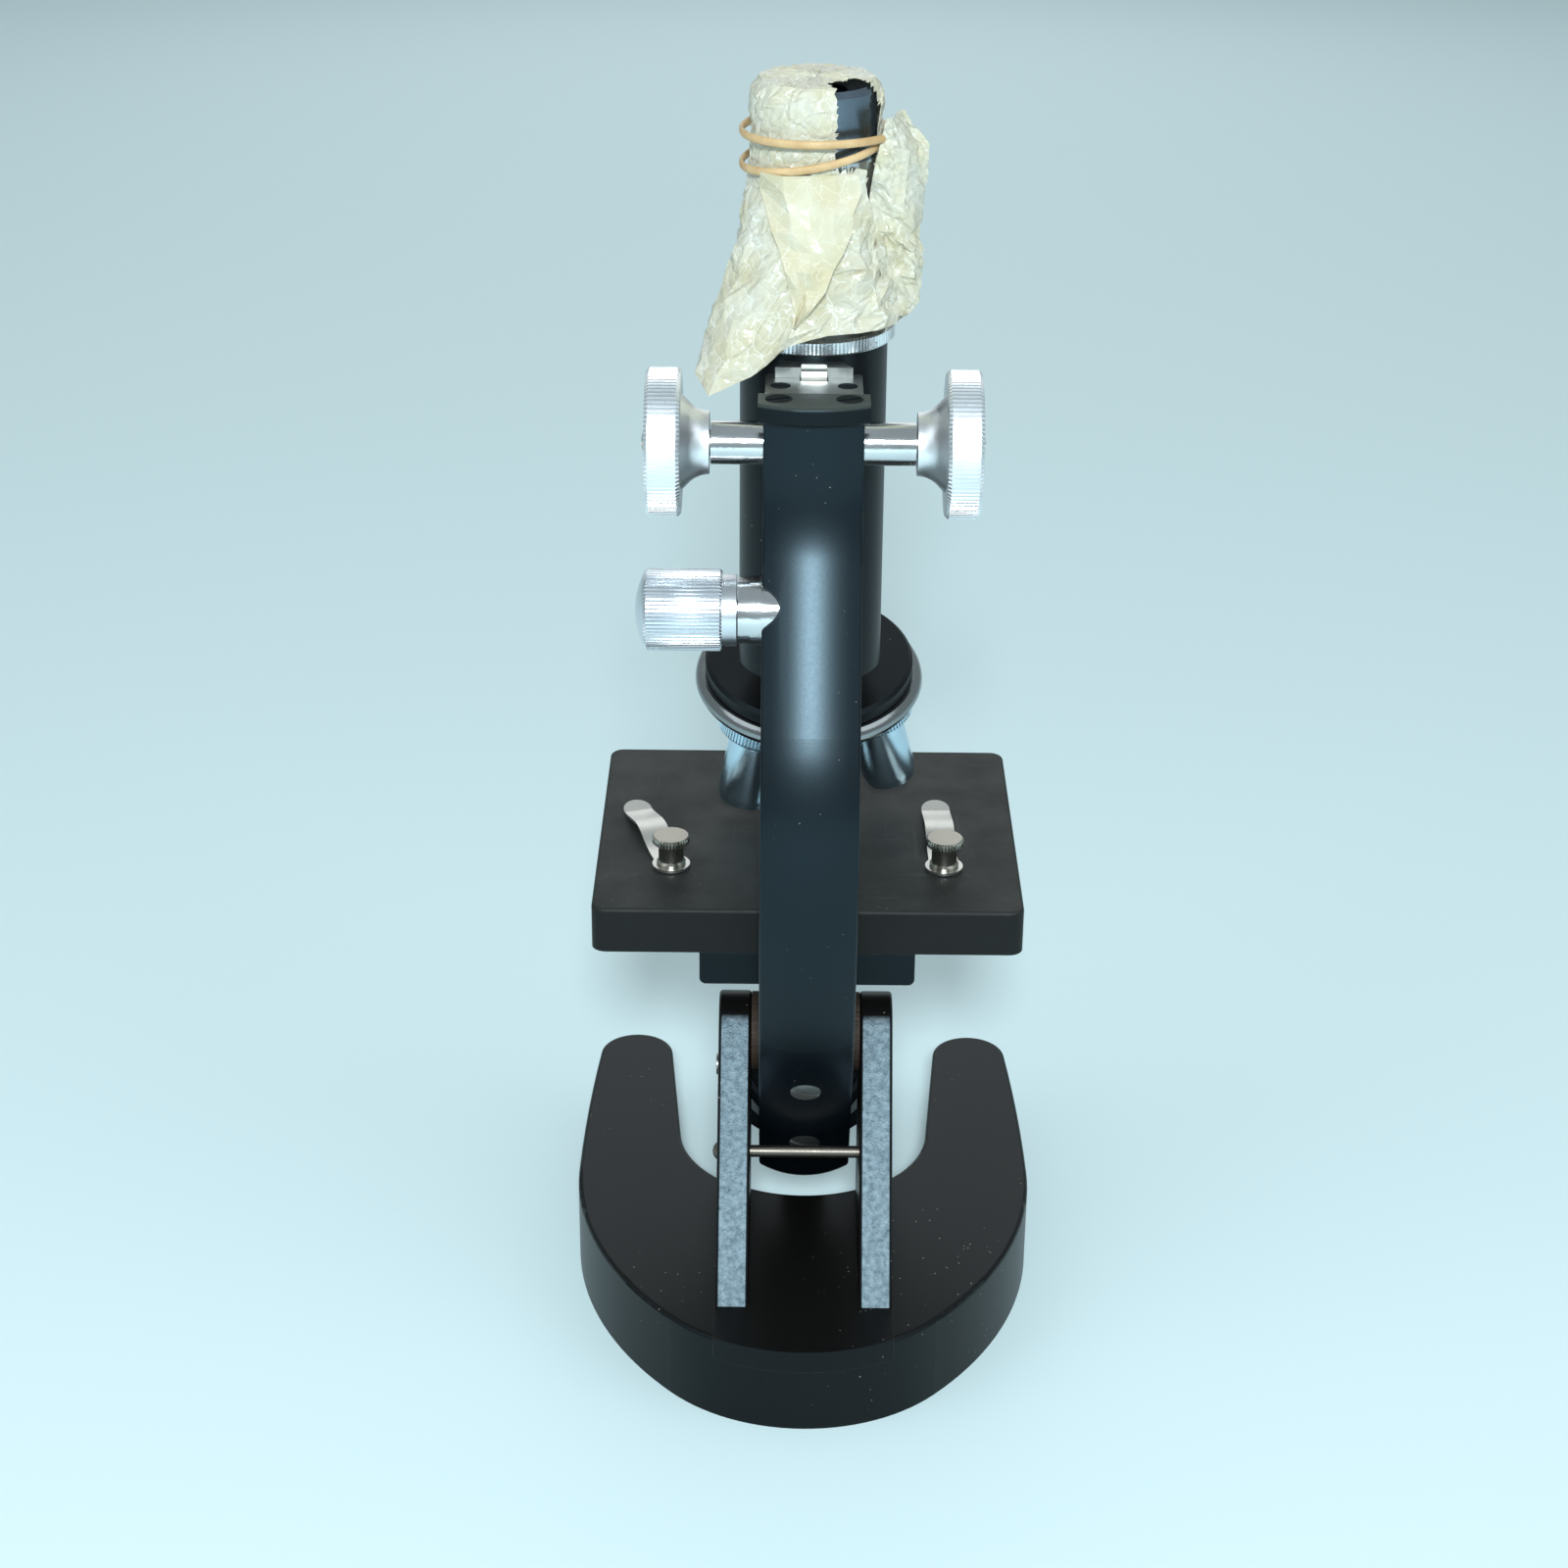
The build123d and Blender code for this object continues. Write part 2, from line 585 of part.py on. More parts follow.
def pillar():
    """One casting: a flush sole and two cheeks with room for the arm's foot between them."""
    half = HALF_PILLAR
    strip = span_box((-half, half), both_sides(BASE_LENGTH), (BASE_HEIGHT - SOLE_DEPTH, BASE_HEIGHT))
    casting = strip & plan_prism(base_face(), 0, BASE_HEIGHT)
    for side in (-1, 1):
        cheek = extrude(Plane.YZ * cheek_face(), CHEEK_THICK, dir=(1, 0, 0))
        rims = cheek.faces().filter_by(Axis.X).edges().filter_by(lambda rim: rim.center().Z > BASE_HEIGHT + 1)
        cheek = fillet(rims, CHEEK_EDGE)
        casting += Pos(side * (HALF_GAP + CHEEK_THICK / 2) - CHEEK_THICK / 2, 0, 0) * cheek
    casting -= rod_x(PIVOT_R + SEAT, -HALF_PILLAR, HALF_PILLAR, PIVOT_Y, PIVOT_Z)
    casting -= rod_x(STOP_R + SEAT, -HALF_PILLAR, HALF_PILLAR, STOP_Y, STOP_Z)
    for x, y in pillar_screw_spots():
        casting -= Pos(x, y, 0) * rod(PILLAR_SCREW_R + SEAT, BASE_HEIGHT - SOLE_DEPTH / 3)
    return casting


def pillar_screws():
    length = BASE_HEIGHT - SOLE_DEPTH / 3 - PILLAR_SCREW_SINK - PILLAR_SCREW_HEAD
    screw = slotted_screw(PILLAR_SCREW_R, length, PILLAR_SCREW_HEAD_R, PILLAR_SCREW_HEAD)
    head_z = PILLAR_SCREW_SINK + PILLAR_SCREW_HEAD
    return group(Pos(x, y, head_z) * Rot(180, 0, 0) * screw for x, y in pillar_screw_spots())


def pivot_pin():
    return rod_x(PIVOT_R, -HALF_PILLAR, HALF_PILLAR, PIVOT_Y, PIVOT_Z)


def stop_pin():
    """A straight pin through both cheeks with a domed end on the left."""
    end = turned(face_of(dome(STOP_HEAD_R, 0, STOP_DOME), Polyline((0, STOP_DOME), (0, 0), (STOP_HEAD_R, 0))))
    pin = rod_x(STOP_R, -HALF_PILLAR, HALF_PILLAR, STOP_Y, STOP_Z)
    return pin + along_x(end, -HALF_PILLAR, STOP_Y, STOP_Z, -1)


def friction_washers():
    thick = HALF_GAP - HALF_ARM - 2 * WASHER_PLAY
    ring = rod(WASHER_R, thick) - rod(PIVOT_R + RUN, thick)
    start = HALF_ARM + WASHER_PLAY
    return group(along_x(ring, side * start, PIVOT_Y, PIVOT_Z, side) for side in (-1, 1))


def arm_back():
    """The arm's rear from the head to the foot, as lines and arcs that run into each other."""
    head = Line((ARM_HEAD_BACK, ARM_TOP), (ARM_HEAD_BACK, ARM_BEND_TOP))
    upper = JernArc(head @ 1, head % 1, ARM_UPPER_R, -ARM_LEAN)
    slope = PolarLine(upper @ 1, ARM_SLOPE, direction=upper % 1)
    back = JernArc(slope @ 1, slope % 1, ARM_BACK_R, ARM_LEAN)
    straight = PolarLine(back @ 1, ARM_STRAIGHT, direction=back % 1)
    lower = JernArc(straight @ 1, straight % 1, ARM_LOWER_R, ARM_LOWER_TURN)
    foot = JernArc(lower @ 1, lower % 1, ARM_FOOT_R, ARM_FOOT_TURN)
    sole = PolarLine(foot @ 1, ARM_FOOT_LENGTH, direction=foot % 1)
    return [head, upper, slope, back, straight, lower, foot, sole]


def arm_toe():
    """The round end of the arm's foot."""
    sole = arm_back()[-1]
    return JernArc(sole @ 1, sole % 1, ARM_TOE_R, 180 - ARM_LOWER_TURN - ARM_FOOT_TURN)


def arm_face():
    back = arm_back()
    toe = arm_toe()
    shin = PolarLine(toe @ 1, ARM_SHIN, direction=toe % 1)
    knee = JernArc(shin @ 1, shin % 1, ARM_KNEE_R, -ARM_KNEE_TURN)
    rise = PolarLine(knee @ 1, ARM_KNEE_RISE, direction=knee % 1)
    thigh = JernArc(rise @ 1, rise % 1, ARM_KNEE_R, ARM_KNEE_TURN)
    shelf_front = Line(thigh @ 1, ((thigh @ 1).X, BRACKET_BOTTOM))
    shelf = Line(shelf_front @ 1, (ARM_FRONT + ARM_NOTCH_R, BRACKET_BOTTOM))
    notch = JernArc(shelf @ 1, shelf % 1, ARM_NOTCH_R, -90)
    limb = Line(notch @ 1, (ARM_FRONT, ARM_FRONT_TOP))
    lean = radians(ARM_LEAN)
    bends = (ARM_FRONT_LOWER_R + ARM_FRONT_UPPER_R) * (1 - cos(lean))
    lower = JernArc(limb @ 1, limb % 1, ARM_FRONT_LOWER_R, -ARM_LEAN)
    slope = PolarLine(lower @ 1, (ARM_HEAD_FRONT - ARM_FRONT - bends) / sin(lean), direction=lower % 1)
    upper = JernArc(slope @ 1, slope % 1, ARM_FRONT_UPPER_R, ARM_LEAN)
    head = Line(upper @ 1, (ARM_HEAD_FRONT, ARM_TOP))
    top = Line(head @ 1, back[0] @ 0)
    front = [toe, shin, knee, rise, thigh, shelf_front, shelf, notch, limb, lower, slope, upper, head, top]
    return face_of(*back, *front)


def foot_screw_seats():
    """Planes sunk in the rear of the arm's foot, facing out, for its two screws."""
    sole = arm_back()[-1]
    heading = sole % 0
    out = Vector(0, heading.Y, -heading.X)
    seats = []
    for along in FOOT_SCREW_ALONG:
        spot = sole @ (along / ARM_FOOT_LENGTH)
        seats.append(Plane(Vector(0, spot.X, spot.Y) - out * FOOT_SCREW_HEAD, x_dir=(1, 0, 0), z_dir=out))
    return seats


def arm_crown():
    """What is cut off beside the arm's rounded rear, all along it and round the toe."""
    lines = [*arm_back(), arm_toe()]
    path = Plane.YZ * Wire([edge for line in lines for edge in line.edges()])
    margin = ARM_EDGE
    outside = HALF_ARM + margin
    round_rear = ThreePointArc((-HALF_ARM, -ARM_CROWN), (0, 0), (HALF_ARM, -ARM_CROWN))
    waste = Polyline(
        (HALF_ARM, -ARM_CROWN),
        (outside, -ARM_CROWN),
        (outside, margin),
        (-outside, margin),
        (-outside, -ARM_CROWN),
        (-HALF_ARM, -ARM_CROWN),
    )
    start = Plane((0, ARM_HEAD_BACK, ARM_TOP), x_dir=(1, 0, 0), z_dir=(0, 0, -1))
    return sweep(start * face_of(round_rear, waste), path)


def tongue(play):
    """Dovetail by which the bearing block rides on the arm's head."""
    tail_y = ARM_HEAD_FRONT - TONGUE_DEPTH - play
    neck = TONGUE_NECK + play
    tail = TONGUE_TAIL + play
    front = ARM_HEAD_FRONT + TONGUE_DEPTH / 2
    outline = (neck, front), (neck, ARM_HEAD_FRONT), (tail, tail_y)
    return polygon(*outline, *[mirrored(point) for point in reversed(outline)])


def arm():
    limb = side_prism(arm_face(), HALF_ARM) - arm_crown()
    limb = fillet([rim for rim in limb.edges() if on_arm_rear(rim)], ARM_EDGE)
    limb -= rod_x(PIVOT_R + RUN, -ARM_WIDTH, ARM_WIDTH, PIVOT_Y, PIVOT_Z)
    limb -= rod_x(CAVITY_R, -ARM_WIDTH, CAVITY_END, FINE_Y, FINE_Z)
    limb -= rod_x(SPINDLE_R + RUN, 0, SPINDLE_PILOT + LOOSE, FINE_Y, FINE_Z)
    limb -= plan_prism(tongue(SLIDE), TONGUE_BOTTOM - 2 * FINE_TRAVEL, ARM_TOP)
    slot = LIFT_PIN_R + LOOSE
    limb -= span_box(
        (-slot, slot),
        (FINE_Y - LIFT_PIN_PAST_AXIS - LOOSE, ARM_HEAD_FRONT + 1),
        (LIFT_PIN_Z - slot - FINE_TRAVEL, LIFT_PIN_Z + slot + FINE_TRAVEL),
    )
    for x, y in cap_screw_spots():
        limb -= Pos(x, y, ARM_TOP - CAP_THICK) * rod(CAP_SCREW_R + SEAT, CAP_THICK)
    for y in BRACKET_SCREW_Y:
        hole = rod(SMALL_SCREW_R + SEAT, SMALL_SCREW_LENGTH)
        limb -= Pos(0, y, BRACKET_BOTTOM - bracket_screw_length()) * hole
    for seat in foot_screw_seats():
        limb -= seat.location * Pos(0, 0, -FOOT_SCREW_LENGTH) * rod(FOOT_SCREW_R + SEAT, FOOT_SCREW_LENGTH)
        limb -= seat.location * rod(FOOT_SCREW_HEAD_R + SEAT, ARM_FOOT_R)
    limb -= tail_screw_hole()
    return limb


def on_arm_rear(rim):
    """Whether an edge bounds the rounded rear above the foot."""
    middle = rim @ 0.5
    on_head = middle.Y < ARM_HEAD_BACK + ARM_CROWN + RUN and middle.Z > FINE_Z
    behind = on_head or middle.Y < ARM_FRONT - ARM_NOTCH_R
    on_side = abs(abs(middle.X) - HALF_ARM) < RUN
    return on_side and behind and BRACKET_BOTTOM < middle.Z < ARM_TOP - RUN


def cap_screw_spots():
    return [(x, (ARM_HEAD_BACK + ARM_HEAD_FRONT) / 2) for x in both_sides(CAP_SCREW_X)]


def arm_cap():
    """D-shaped plate on the head, with a convex rear edge and countersunk screws."""
    half = CAP_WIDTH / 2
    back = ARM_HEAD_BACK
    rear = ThreePointArc((-half, back), (0, back - CAP_BULGE), (half, back))
    front = ARM_HEAD_FRONT - LOOSE
    plate = face_of(rear, Polyline((half, back), (half, front), (-half, front), (-half, back)))
    cap = plan_prism(plate, ARM_TOP, ARM_TOP + CAP_THICK)
    cap = fillet(cap.edges().filter_by(lambda edge: (edge @ 0.5).Y < back - RUN), CAP_THICK / 5)
    for x, y in cap_screw_spots():
        cap -= Pos(x, y, ARM_TOP) * cap_screw(SEAT)
    return cap


def cap_screw(play):
    """Countersunk screw that stands in the cap, flush with its top."""
    head_depth = CAP_SCREW_HEAD_R - CAP_SCREW_R
    shank = CAP_SCREW_R + play
    head = CAP_SCREW_HEAD_R + play
    outline = (0, -CAP_THICK), (shank, -CAP_THICK), (shank, CAP_THICK - head_depth), (head, CAP_THICK)
    return turned(polygon(*outline, (0, CAP_THICK)))


def arm_cap_screws():
    slot = Box(3 * CAP_SCREW_HEAD_R, CAP_SLOT_WIDTH, 2 * CAP_SLOT_DEPTH)
    slot = Pos(0, 0, CAP_THICK) * Rot(0, 0, CAP_SLOT_TURN) * slot
    screw = cap_screw(0) - slot
    return group(Pos(x, y, ARM_TOP) * screw for x, y in cap_screw_spots())


def arm_foot_screws():
    screw = slotted_screw(FOOT_SCREW_R, FOOT_SCREW_LENGTH, FOOT_SCREW_HEAD_R, FOOT_SCREW_HEAD, FOOT_SCREW_CROWN)
    return group(seat.location * Rot(0, 0, FOOT_SCREW_SLOT) * screw for seat in foot_screw_seats())


def bracket_screw_length():
    return SMALL_SCREW_LENGTH - BRACKET_HEIGHT + SMALL_SCREW_HEAD


def stage_screw_spots():
    return [(x, STAGE_SCREW_Y) for x in both_sides(STAGE_SCREW_X)]


def stage_bracket():
    """Plate across the arm's shelf that carries the stage."""
    half = BRACKET_WIDTH / 2
    plate = span_box((-half, half), (STAGE_BACK, BRACKET_FRONT), (BRACKET_BOTTOM, STAGE_BOTTOM))
    lower = plate.faces().sort_by(Axis.Z)[0].edges().filter_by(Axis.Y)
    plate = fillet(lower, BRACKET_CORNER)
    for y in BRACKET_SCREW_Y:
        plate -= Pos(0, y, BRACKET_BOTTOM) * rod(SMALL_SCREW_R + SEAT, BRACKET_HEIGHT)
        plate -= Pos(0, y, STAGE_BOTTOM - SMALL_SCREW_HEAD) * rod(SMALL_SCREW_HEAD_R + SEAT, SMALL_SCREW_HEAD)
    for x, y in stage_screw_spots():
        plate -= Pos(x, y, BRACKET_BOTTOM) * rod(SMALL_SCREW_R + SEAT, BRACKET_HEIGHT)
        plate -= Pos(x, y, BRACKET_BOTTOM) * rod(SMALL_SCREW_HEAD_R + SEAT, SMALL_SCREW_HEAD)
    return plate


def bracket_screws():
    screw = slotted_screw(SMALL_SCREW_R, SMALL_SCREW_LENGTH, SMALL_SCREW_HEAD_R, SMALL_SCREW_HEAD)
    return group(Pos(0, y, STAGE_BOTTOM - SMALL_SCREW_HEAD) * screw for y in BRACKET_SCREW_Y)


def stage_screws():
    screw = slotted_screw(SMALL_SCREW_R, SMALL_SCREW_LENGTH, SMALL_SCREW_HEAD_R, SMALL_SCREW_HEAD)
    seat_z = BRACKET_BOTTOM + SMALL_SCREW_HEAD
    return group(Pos(x, y, seat_z) * Rot(180, 0, 0) * screw for x, y in stage_screw_spots())


def clip_places():
    return {"left": (-CLIP_X, CLIP_Y), "right": (CLIP_X, CLIP_Y)}


def stage_plate():
    middle = Pos(0, STAGE_BACK + STAGE_DEPTH / 2, STAGE_BOTTOM)
    plate = middle * Box(STAGE_WIDTH, STAGE_DEPTH, STAGE_THICK, align=UP)
    plate = fillet(plate.edges().filter_by(Axis.Z), STAGE_CORNER)
    plate = fillet(plate.faces().sort_by(Axis.Z)[-1].edges(), STAGE_EDGE)
    plate -= AXIS * Pos(0, 0, STAGE_BOTTOM) * rod(STAGE_HOLE_R, STAGE_THICK)
    for x, y in clip_places().values():
        hole = rod(CLIP_SCREW_R + RUN, CLIP_SCREW_DEPTH + LOOSE)
        plate -= Pos(x, y, STAGE_TOP - CLIP_SCREW_DEPTH - LOOSE) * hole
    for x, y in stage_screw_spots():
        plate -= Pos(x, y, STAGE_BOTTOM) * rod(SMALL_SCREW_R + SEAT, bracket_screw_length())
    return plate


def stage_clip(side):
    """Spring leaf: flat at the eye, arched in the middle, with an upturned tip."""
    floor = STAGE_TOP + CLIP_TIP_LIFT
    eye_end = CLIP_EYE_R + CLIP_FLAT
    crest = CLIP_LENGTH * CLIP_CREST
    touch = CLIP_LENGTH * CLIP_TOUCH
    tip_z = floor + CLIP_TIP_RISE
    rise = Spline((eye_end, floor), (crest, floor + CLIP_ARCH), (touch, floor), tangents=((1, 0), (1, -0.12)))
    under = [Line((-CLIP_EYE_R, floor), (eye_end, floor)), rise, Line((touch, floor), (CLIP_LENGTH, tip_z))]
    leaf_lines = [line for part in under for line in part.edges()]
    upper = [Pos(0, CLIP_THICK, 0) * line for line in leaf_lines]
    caps = [Line(leaf_lines[0] @ 0, upper[0] @ 0), Line(leaf_lines[-1] @ 1, upper[-1] @ 1)]
    leaf = side_prism(face_of(*leaf_lines, *upper, *caps), CLIP_EYE_R)
    half = CLIP_WIDTH / 2
    tip = CLIP_LENGTH - half
    eye = Circle(CLIP_EYE_R)
    blade = Pos(0, tip / 2) * Rectangle(CLIP_WIDTH, tip)
    outline = eye + blade + Pos(0, tip) * Circle(half)
    leaf &= extrude(Pos(0, 0, STAGE_TOP - CLIP_THICK) * outline, 10 * CLIP_THICK)
    leaf -= Pos(0, 0, STAGE_TOP) * rod(CLIP_SCREW_R + RUN, 10 * CLIP_THICK)
    x, y = clip_places()[side]
    return Pos(x, y, 0) * Rot(0, 0, CLIP_SWING[side]) * leaf


def clip_screw(side):
    """Thumb-screw with a knurled head on a waisted neck."""
    neck_bottom = CLIP_TIP_LIFT + CLIP_THICK + RUN
    head_bottom = CLIP_HEAD_TOP - CLIP_HEAD
    chamfer_size = CLIP_HEAD / 6
    outline = (
        (0, -CLIP_SCREW_DEPTH),
        (CLIP_SCREW_R, -CLIP_SCREW_DEPTH),
        (CLIP_SCREW_R, neck_bottom),
        (CLIP_NECK_R, neck_bottom),
        (CLIP_NECK_R, head_bottom),
        (CLIP_HEAD_R - chamfer_size, head_bottom),
        (CLIP_HEAD_R, head_bottom + chamfer_size),
        (CLIP_HEAD_R, CLIP_HEAD_TOP - chamfer_size),
        (CLIP_HEAD_R - chamfer_size, CLIP_HEAD_TOP),
        (0, CLIP_HEAD_TOP),
    )
    x, y = clip_places()[side]
    return Pos(x, y, STAGE_TOP) * turned(polygon(*outline))


def tail_points():
    """Middle line of the mirror's tailpiece, from the arm's foot to the mirror."""
    foot = arm_front_of_foot()
    level = TAIL_TOP - TAIL_THICK / 2
    knee = (foot, level + TAIL_KNEE)
    return (foot, TAIL_START), knee, (foot + TAIL_RUN, level), (AXIS_Y + TAIL_WIDTH / 2, level)


def arm_front_of_foot():
    """Middle of the tailpiece where it lies on the front of the arm's foot."""
    return (arm_toe() @ 1).X + TAIL_THICK / 2


def tail_screw_hole():
    y = arm_front_of_foot() - TAIL_THICK / 2
    return Pos(0, y, TAIL_SCREW_Z) * Rot(90, 0, 0) * rod(SMALL_SCREW_R + SEAT, TAIL_SCREW_DEPTH)


def mirror_tailpiece():
    """Bent strap from the arm's foot to below the mirror."""
    path = FilletPolyline(*tail_points(), radius=2 * TAIL_THICK)
    strip = Face(Wire(offset(path, TAIL_THICK / 2, side=Side.BOTH).edges()))
    strap = side_prism(strip, TAIL_WIDTH / 2)
    strap -= AXIS * rod(FORK_STUD_R + RUN, TAIL_TOP + 1)
    front = Pos(0, arm_front_of_foot() + TAIL_THICK / 2, TAIL_SCREW_Z) * Rot(90, 0, 0)
    strap -= front * rod(SMALL_SCREW_R + SEAT, TAIL_THICK)
    return strap - front * rod(SMALL_SCREW_HEAD_R + SEAT, SMALL_SCREW_HEAD)


def tail_screw():
    y = arm_front_of_foot() + TAIL_THICK / 2 - SMALL_SCREW_HEAD
    length = TAIL_SCREW_DEPTH + TAIL_THICK - SMALL_SCREW_HEAD - LOOSE
    screw = slotted_screw(SMALL_SCREW_R, length, SMALL_SCREW_HEAD_R, SMALL_SCREW_HEAD)
    return Pos(0, y, TAIL_SCREW_Z) * Rot(-90, 0, 0) * screw


def mirror_fork():
    """Half ring with ears for the mirror's pivots and a stud through the tailpiece."""
    ring = Circle(FORK_OUTER_R) - Circle(FORK_R)
    half = ring & Pos(0, -FORK_OUTER_R) * Rectangle(3 * FORK_OUTER_R, 2 * FORK_OUTER_R)
    fork = extrude(Plane.XZ * half, FORK_WIDTH / 2, both=True)
    for side in (-1, 1):
        fork += along_x(rod(FORK_WIDTH / 2, FORK_THICK), side * FORK_R, 0, 0, side)
        fork -= along_x(rod(MIRROR_PIN_R + SEAT, 2 * FORK_THICK), side * (FORK_R - 1), 0, 0, side)
    stud_end = MIRROR_Z - TAIL_TOP + TAIL_THICK + FORK_NUT + LOOSE
    fork += Pos(0, 0, -stud_end) * rod(FORK_STUD_R, stud_end - FORK_R - FORK_THICK / 2)
    return AXIS * Pos(0, 0, MIRROR_Z) * fork


def fork_nut():
    top = TAIL_TOP - TAIL_THICK - LOOSE
    nut = extrude(RegularPolygon(FORK_NUT_R, 6), FORK_NUT) - rod(FORK_STUD_R + SEAT, FORK_NUT)
    return AXIS * Pos(0, 0, top - FORK_NUT) * nut


def mirror_pins():
    """Pointed screws through the fork's ears into the mirror's cell."""
    start = MIRROR_CELL_R - MIRROR_PIN_DEEP + LOOSE / 2
    shank = FORK_OUTER_R - start
    pin = Pos(0, 0, shank) * slotted_screw(MIRROR_PIN_R, shank, MIRROR_PIN_HEAD_R, MIRROR_PIN_HEAD)
    return group(along_x(pin, side * start, AXIS_Y, MIRROR_Z, side) for side in (-1, 1))


def tilted_mirror(solid):
    return AXIS * Pos(0, 0, MIRROR_Z) * Rot(MIRROR_REST_TILT, 0, 0) * solid


def mirror_cell():
    """Ring with a seat for a glass on each face and a web between them."""
    cell = Cylinder(MIRROR_CELL_R, MIRROR_CELL_THICK)
    cell = chamfer(cell.edges(), MIRROR_CELL_EDGE)
    seat = (MIRROR_CELL_THICK - MIRROR_WEB) / 2
    for face in (-1, 1):
        cell -= Pos(0, 0, face * (MIRROR_WEB / 2 + seat / 2)) * Cylinder(MIRROR_GLASS_R + SEAT, seat)
    for side in (-1, 1):
        hole = rod(MIRROR_PIN_R + RUN, 2 * MIRROR_PIN_DEEP)
        cell -= along_x(hole, side * (MIRROR_CELL_R - MIRROR_PIN_DEEP), 0, 0, side)
    return tilted_mirror(cell)


def mirror_flat_glass():
    return tilted_mirror(Pos(0, 0, MIRROR_WEB / 2) * rod(MIRROR_GLASS_R, MIRROR_GLASS_THICK))


def mirror_concave_glass():
    floor = MIRROR_GLASS_THICK - CONCAVE_DEPTH
    rim = Polyline((0, floor), (0, 0), (MIRROR_GLASS_R, 0), (MIRROR_GLASS_R, MIRROR_GLASS_THICK))
    glass = turned(face_of(dome(MIRROR_GLASS_R, MIRROR_GLASS_THICK, floor), rim))
    return tilted_mirror(Rot(180, 0, 0) * Pos(0, 0, MIRROR_WEB / 2) * glass)


def slide_face(play, back, front):
    """Dovetail of the body tube's slide, seen from above."""
    neck = DOVETAIL_NECK + play
    tail = DOVETAIL_TAIL + play
    outline = (tail, back), (neck, BLOCK_FRONT), (neck, front)
    return polygon(*outline, *[mirrored(point) for point in reversed(outline)])


def bearing_block():
    """Block on the arm's head with the dovetail way, the pinion's bore and a slot for the rack."""
    half = BLOCK_WIDTH / 2
    block = span_box((-half, half), (ARM_HEAD_FRONT + SLIDE, BLOCK_FRONT), (BLOCK_BOTTOM, BLOCK_TOP))
    block = chamfer(block.edges().filter_by(Axis.Z), BLOCK_EDGE)
    block += plan_prism(tongue(0), TONGUE_BOTTOM, ARM_TOP - FINE_TRAVEL - LOOSE)
    block -= plan_prism(slide_face(SLIDE, SLIDE_BACK - SLIDE, BLOCK_FRONT + 1), BLOCK_BOTTOM, BLOCK_TOP)
    rack_half = RACK_WIDTH / 2 + LOOSE
    rack_tip = RACK_PITCH_Y - ADDENDUM * MODULE - LOOSE
    block -= span_box((-rack_half, rack_half), (rack_tip, BLOCK_FRONT), (BLOCK_BOTTOM, BLOCK_TOP))
    block -= rod_x(SLEEVE_R + SEAT, -half, half, PINION_Y, PINION_Z)
    block -= lift_pin_at(LIFT_PIN_R + SEAT, LIFT_PIN_IN_BLOCK)
    for x in both_sides(BLOCK_SCREW_X):
        block -= Pos(x, BLOCK_SCREW_Y, BLOCK_TOP - BLOCK_SCREW_HEAD) * block_screw(SEAT)
    return block


def block_screw(play):
    screw = rod(BLOCK_SCREW_HEAD_R + play, BLOCK_SCREW_HEAD)
    return screw + Pos(0, 0, -BLOCK_SCREW_LENGTH) * rod(BLOCK_SCREW_R + play, BLOCK_SCREW_LENGTH)


def block_screws():
    slot = Pos(0, 0, BLOCK_SCREW_HEAD) * Box(3 * BLOCK_SCREW_HEAD_R, BLOCK_SLOT_WIDTH, 2 * BLOCK_SLOT_DEPTH)
    screw = block_screw(0) - slot
    return group(Pos(x, BLOCK_SCREW_Y, BLOCK_TOP - BLOCK_SCREW_HEAD) * screw for x in both_sides(BLOCK_SCREW_X))


def lift_pin_at(radius, into_block):
    """A pin along Y from inside the block to just past the fine spindle's axis."""
    start = ARM_HEAD_FRONT + SLIDE + into_block
    end = FINE_Y - LIFT_PIN_PAST_AXIS
    return Pos(0, start, LIFT_PIN_Z) * Rot(90, 0, 0) * rod(radius, start - end)


def fine_lift_pin():
    return lift_pin_at(LIFT_PIN_R, LIFT_PIN_IN_BLOCK - SEAT)


def pinion_sleeve(side):
    """Bearing tube for the knob shaft, let into the block's bore."""
    length = SLEEVE_OUTER_X - SLEEVE_INNER_X
    sleeve = rod(SLEEVE_R, length) - rod(SHAFT_R + RUN, length)
    return along_x(sleeve, side * SLEEVE_INNER_X, PINION_Y, PINION_Z, side)


def pinion_face():
    """Spur pinion with involute flanks and one tooth pointing at the rack."""
    base_r = PITCH_R * cos(radians(PRESSURE_ANGLE))
    tip_r = PITCH_R + ADDENDUM * MODULE
    root_r = PITCH_R - DEDENDUM * MODULE
    half_tooth = pi / (2 * PINION_TEETH) - BACKLASH / (2 * PITCH_R)
    roll = tan(radians(PRESSURE_ANGLE)) - radians(PRESSURE_ANGLE)

    def flank(radius, middle, side):
        """Point of a tooth's flank at a radius."""
        bend = sqrt(max((radius / base_r) ** 2 - 1, 0))
        angle = middle + side * (half_tooth + roll - (bend - atan2(bend, 1)))
        return (radius * cos(angle), radius * sin(angle))

    lines = []
    step = 2 * pi / PINION_TEETH
    for tooth in range(PINION_TEETH):
        middle = tooth * step
        root_in, foot_in = flank(root_r, middle, -1), flank(base_r, middle, -1)
        tip_in, tip_out = flank(tip_r, middle, -1), flank(tip_r, middle, 1)
        foot_out, root_out = flank(base_r, middle, 1), flank(root_r, middle, 1)
        belly = (base_r + tip_r) / 2
        lines += [Line(root_in, foot_in), ThreePointArc(foot_in, flank(belly, middle, -1), tip_in)]
        lines += [Line(tip_in, tip_out), ThreePointArc(tip_out, flank(belly, middle, 1), foot_out)]
        lines += [Line(foot_out, root_out), Line(root_out, flank(root_r, middle + step, -1))]
    return face_of(*lines)


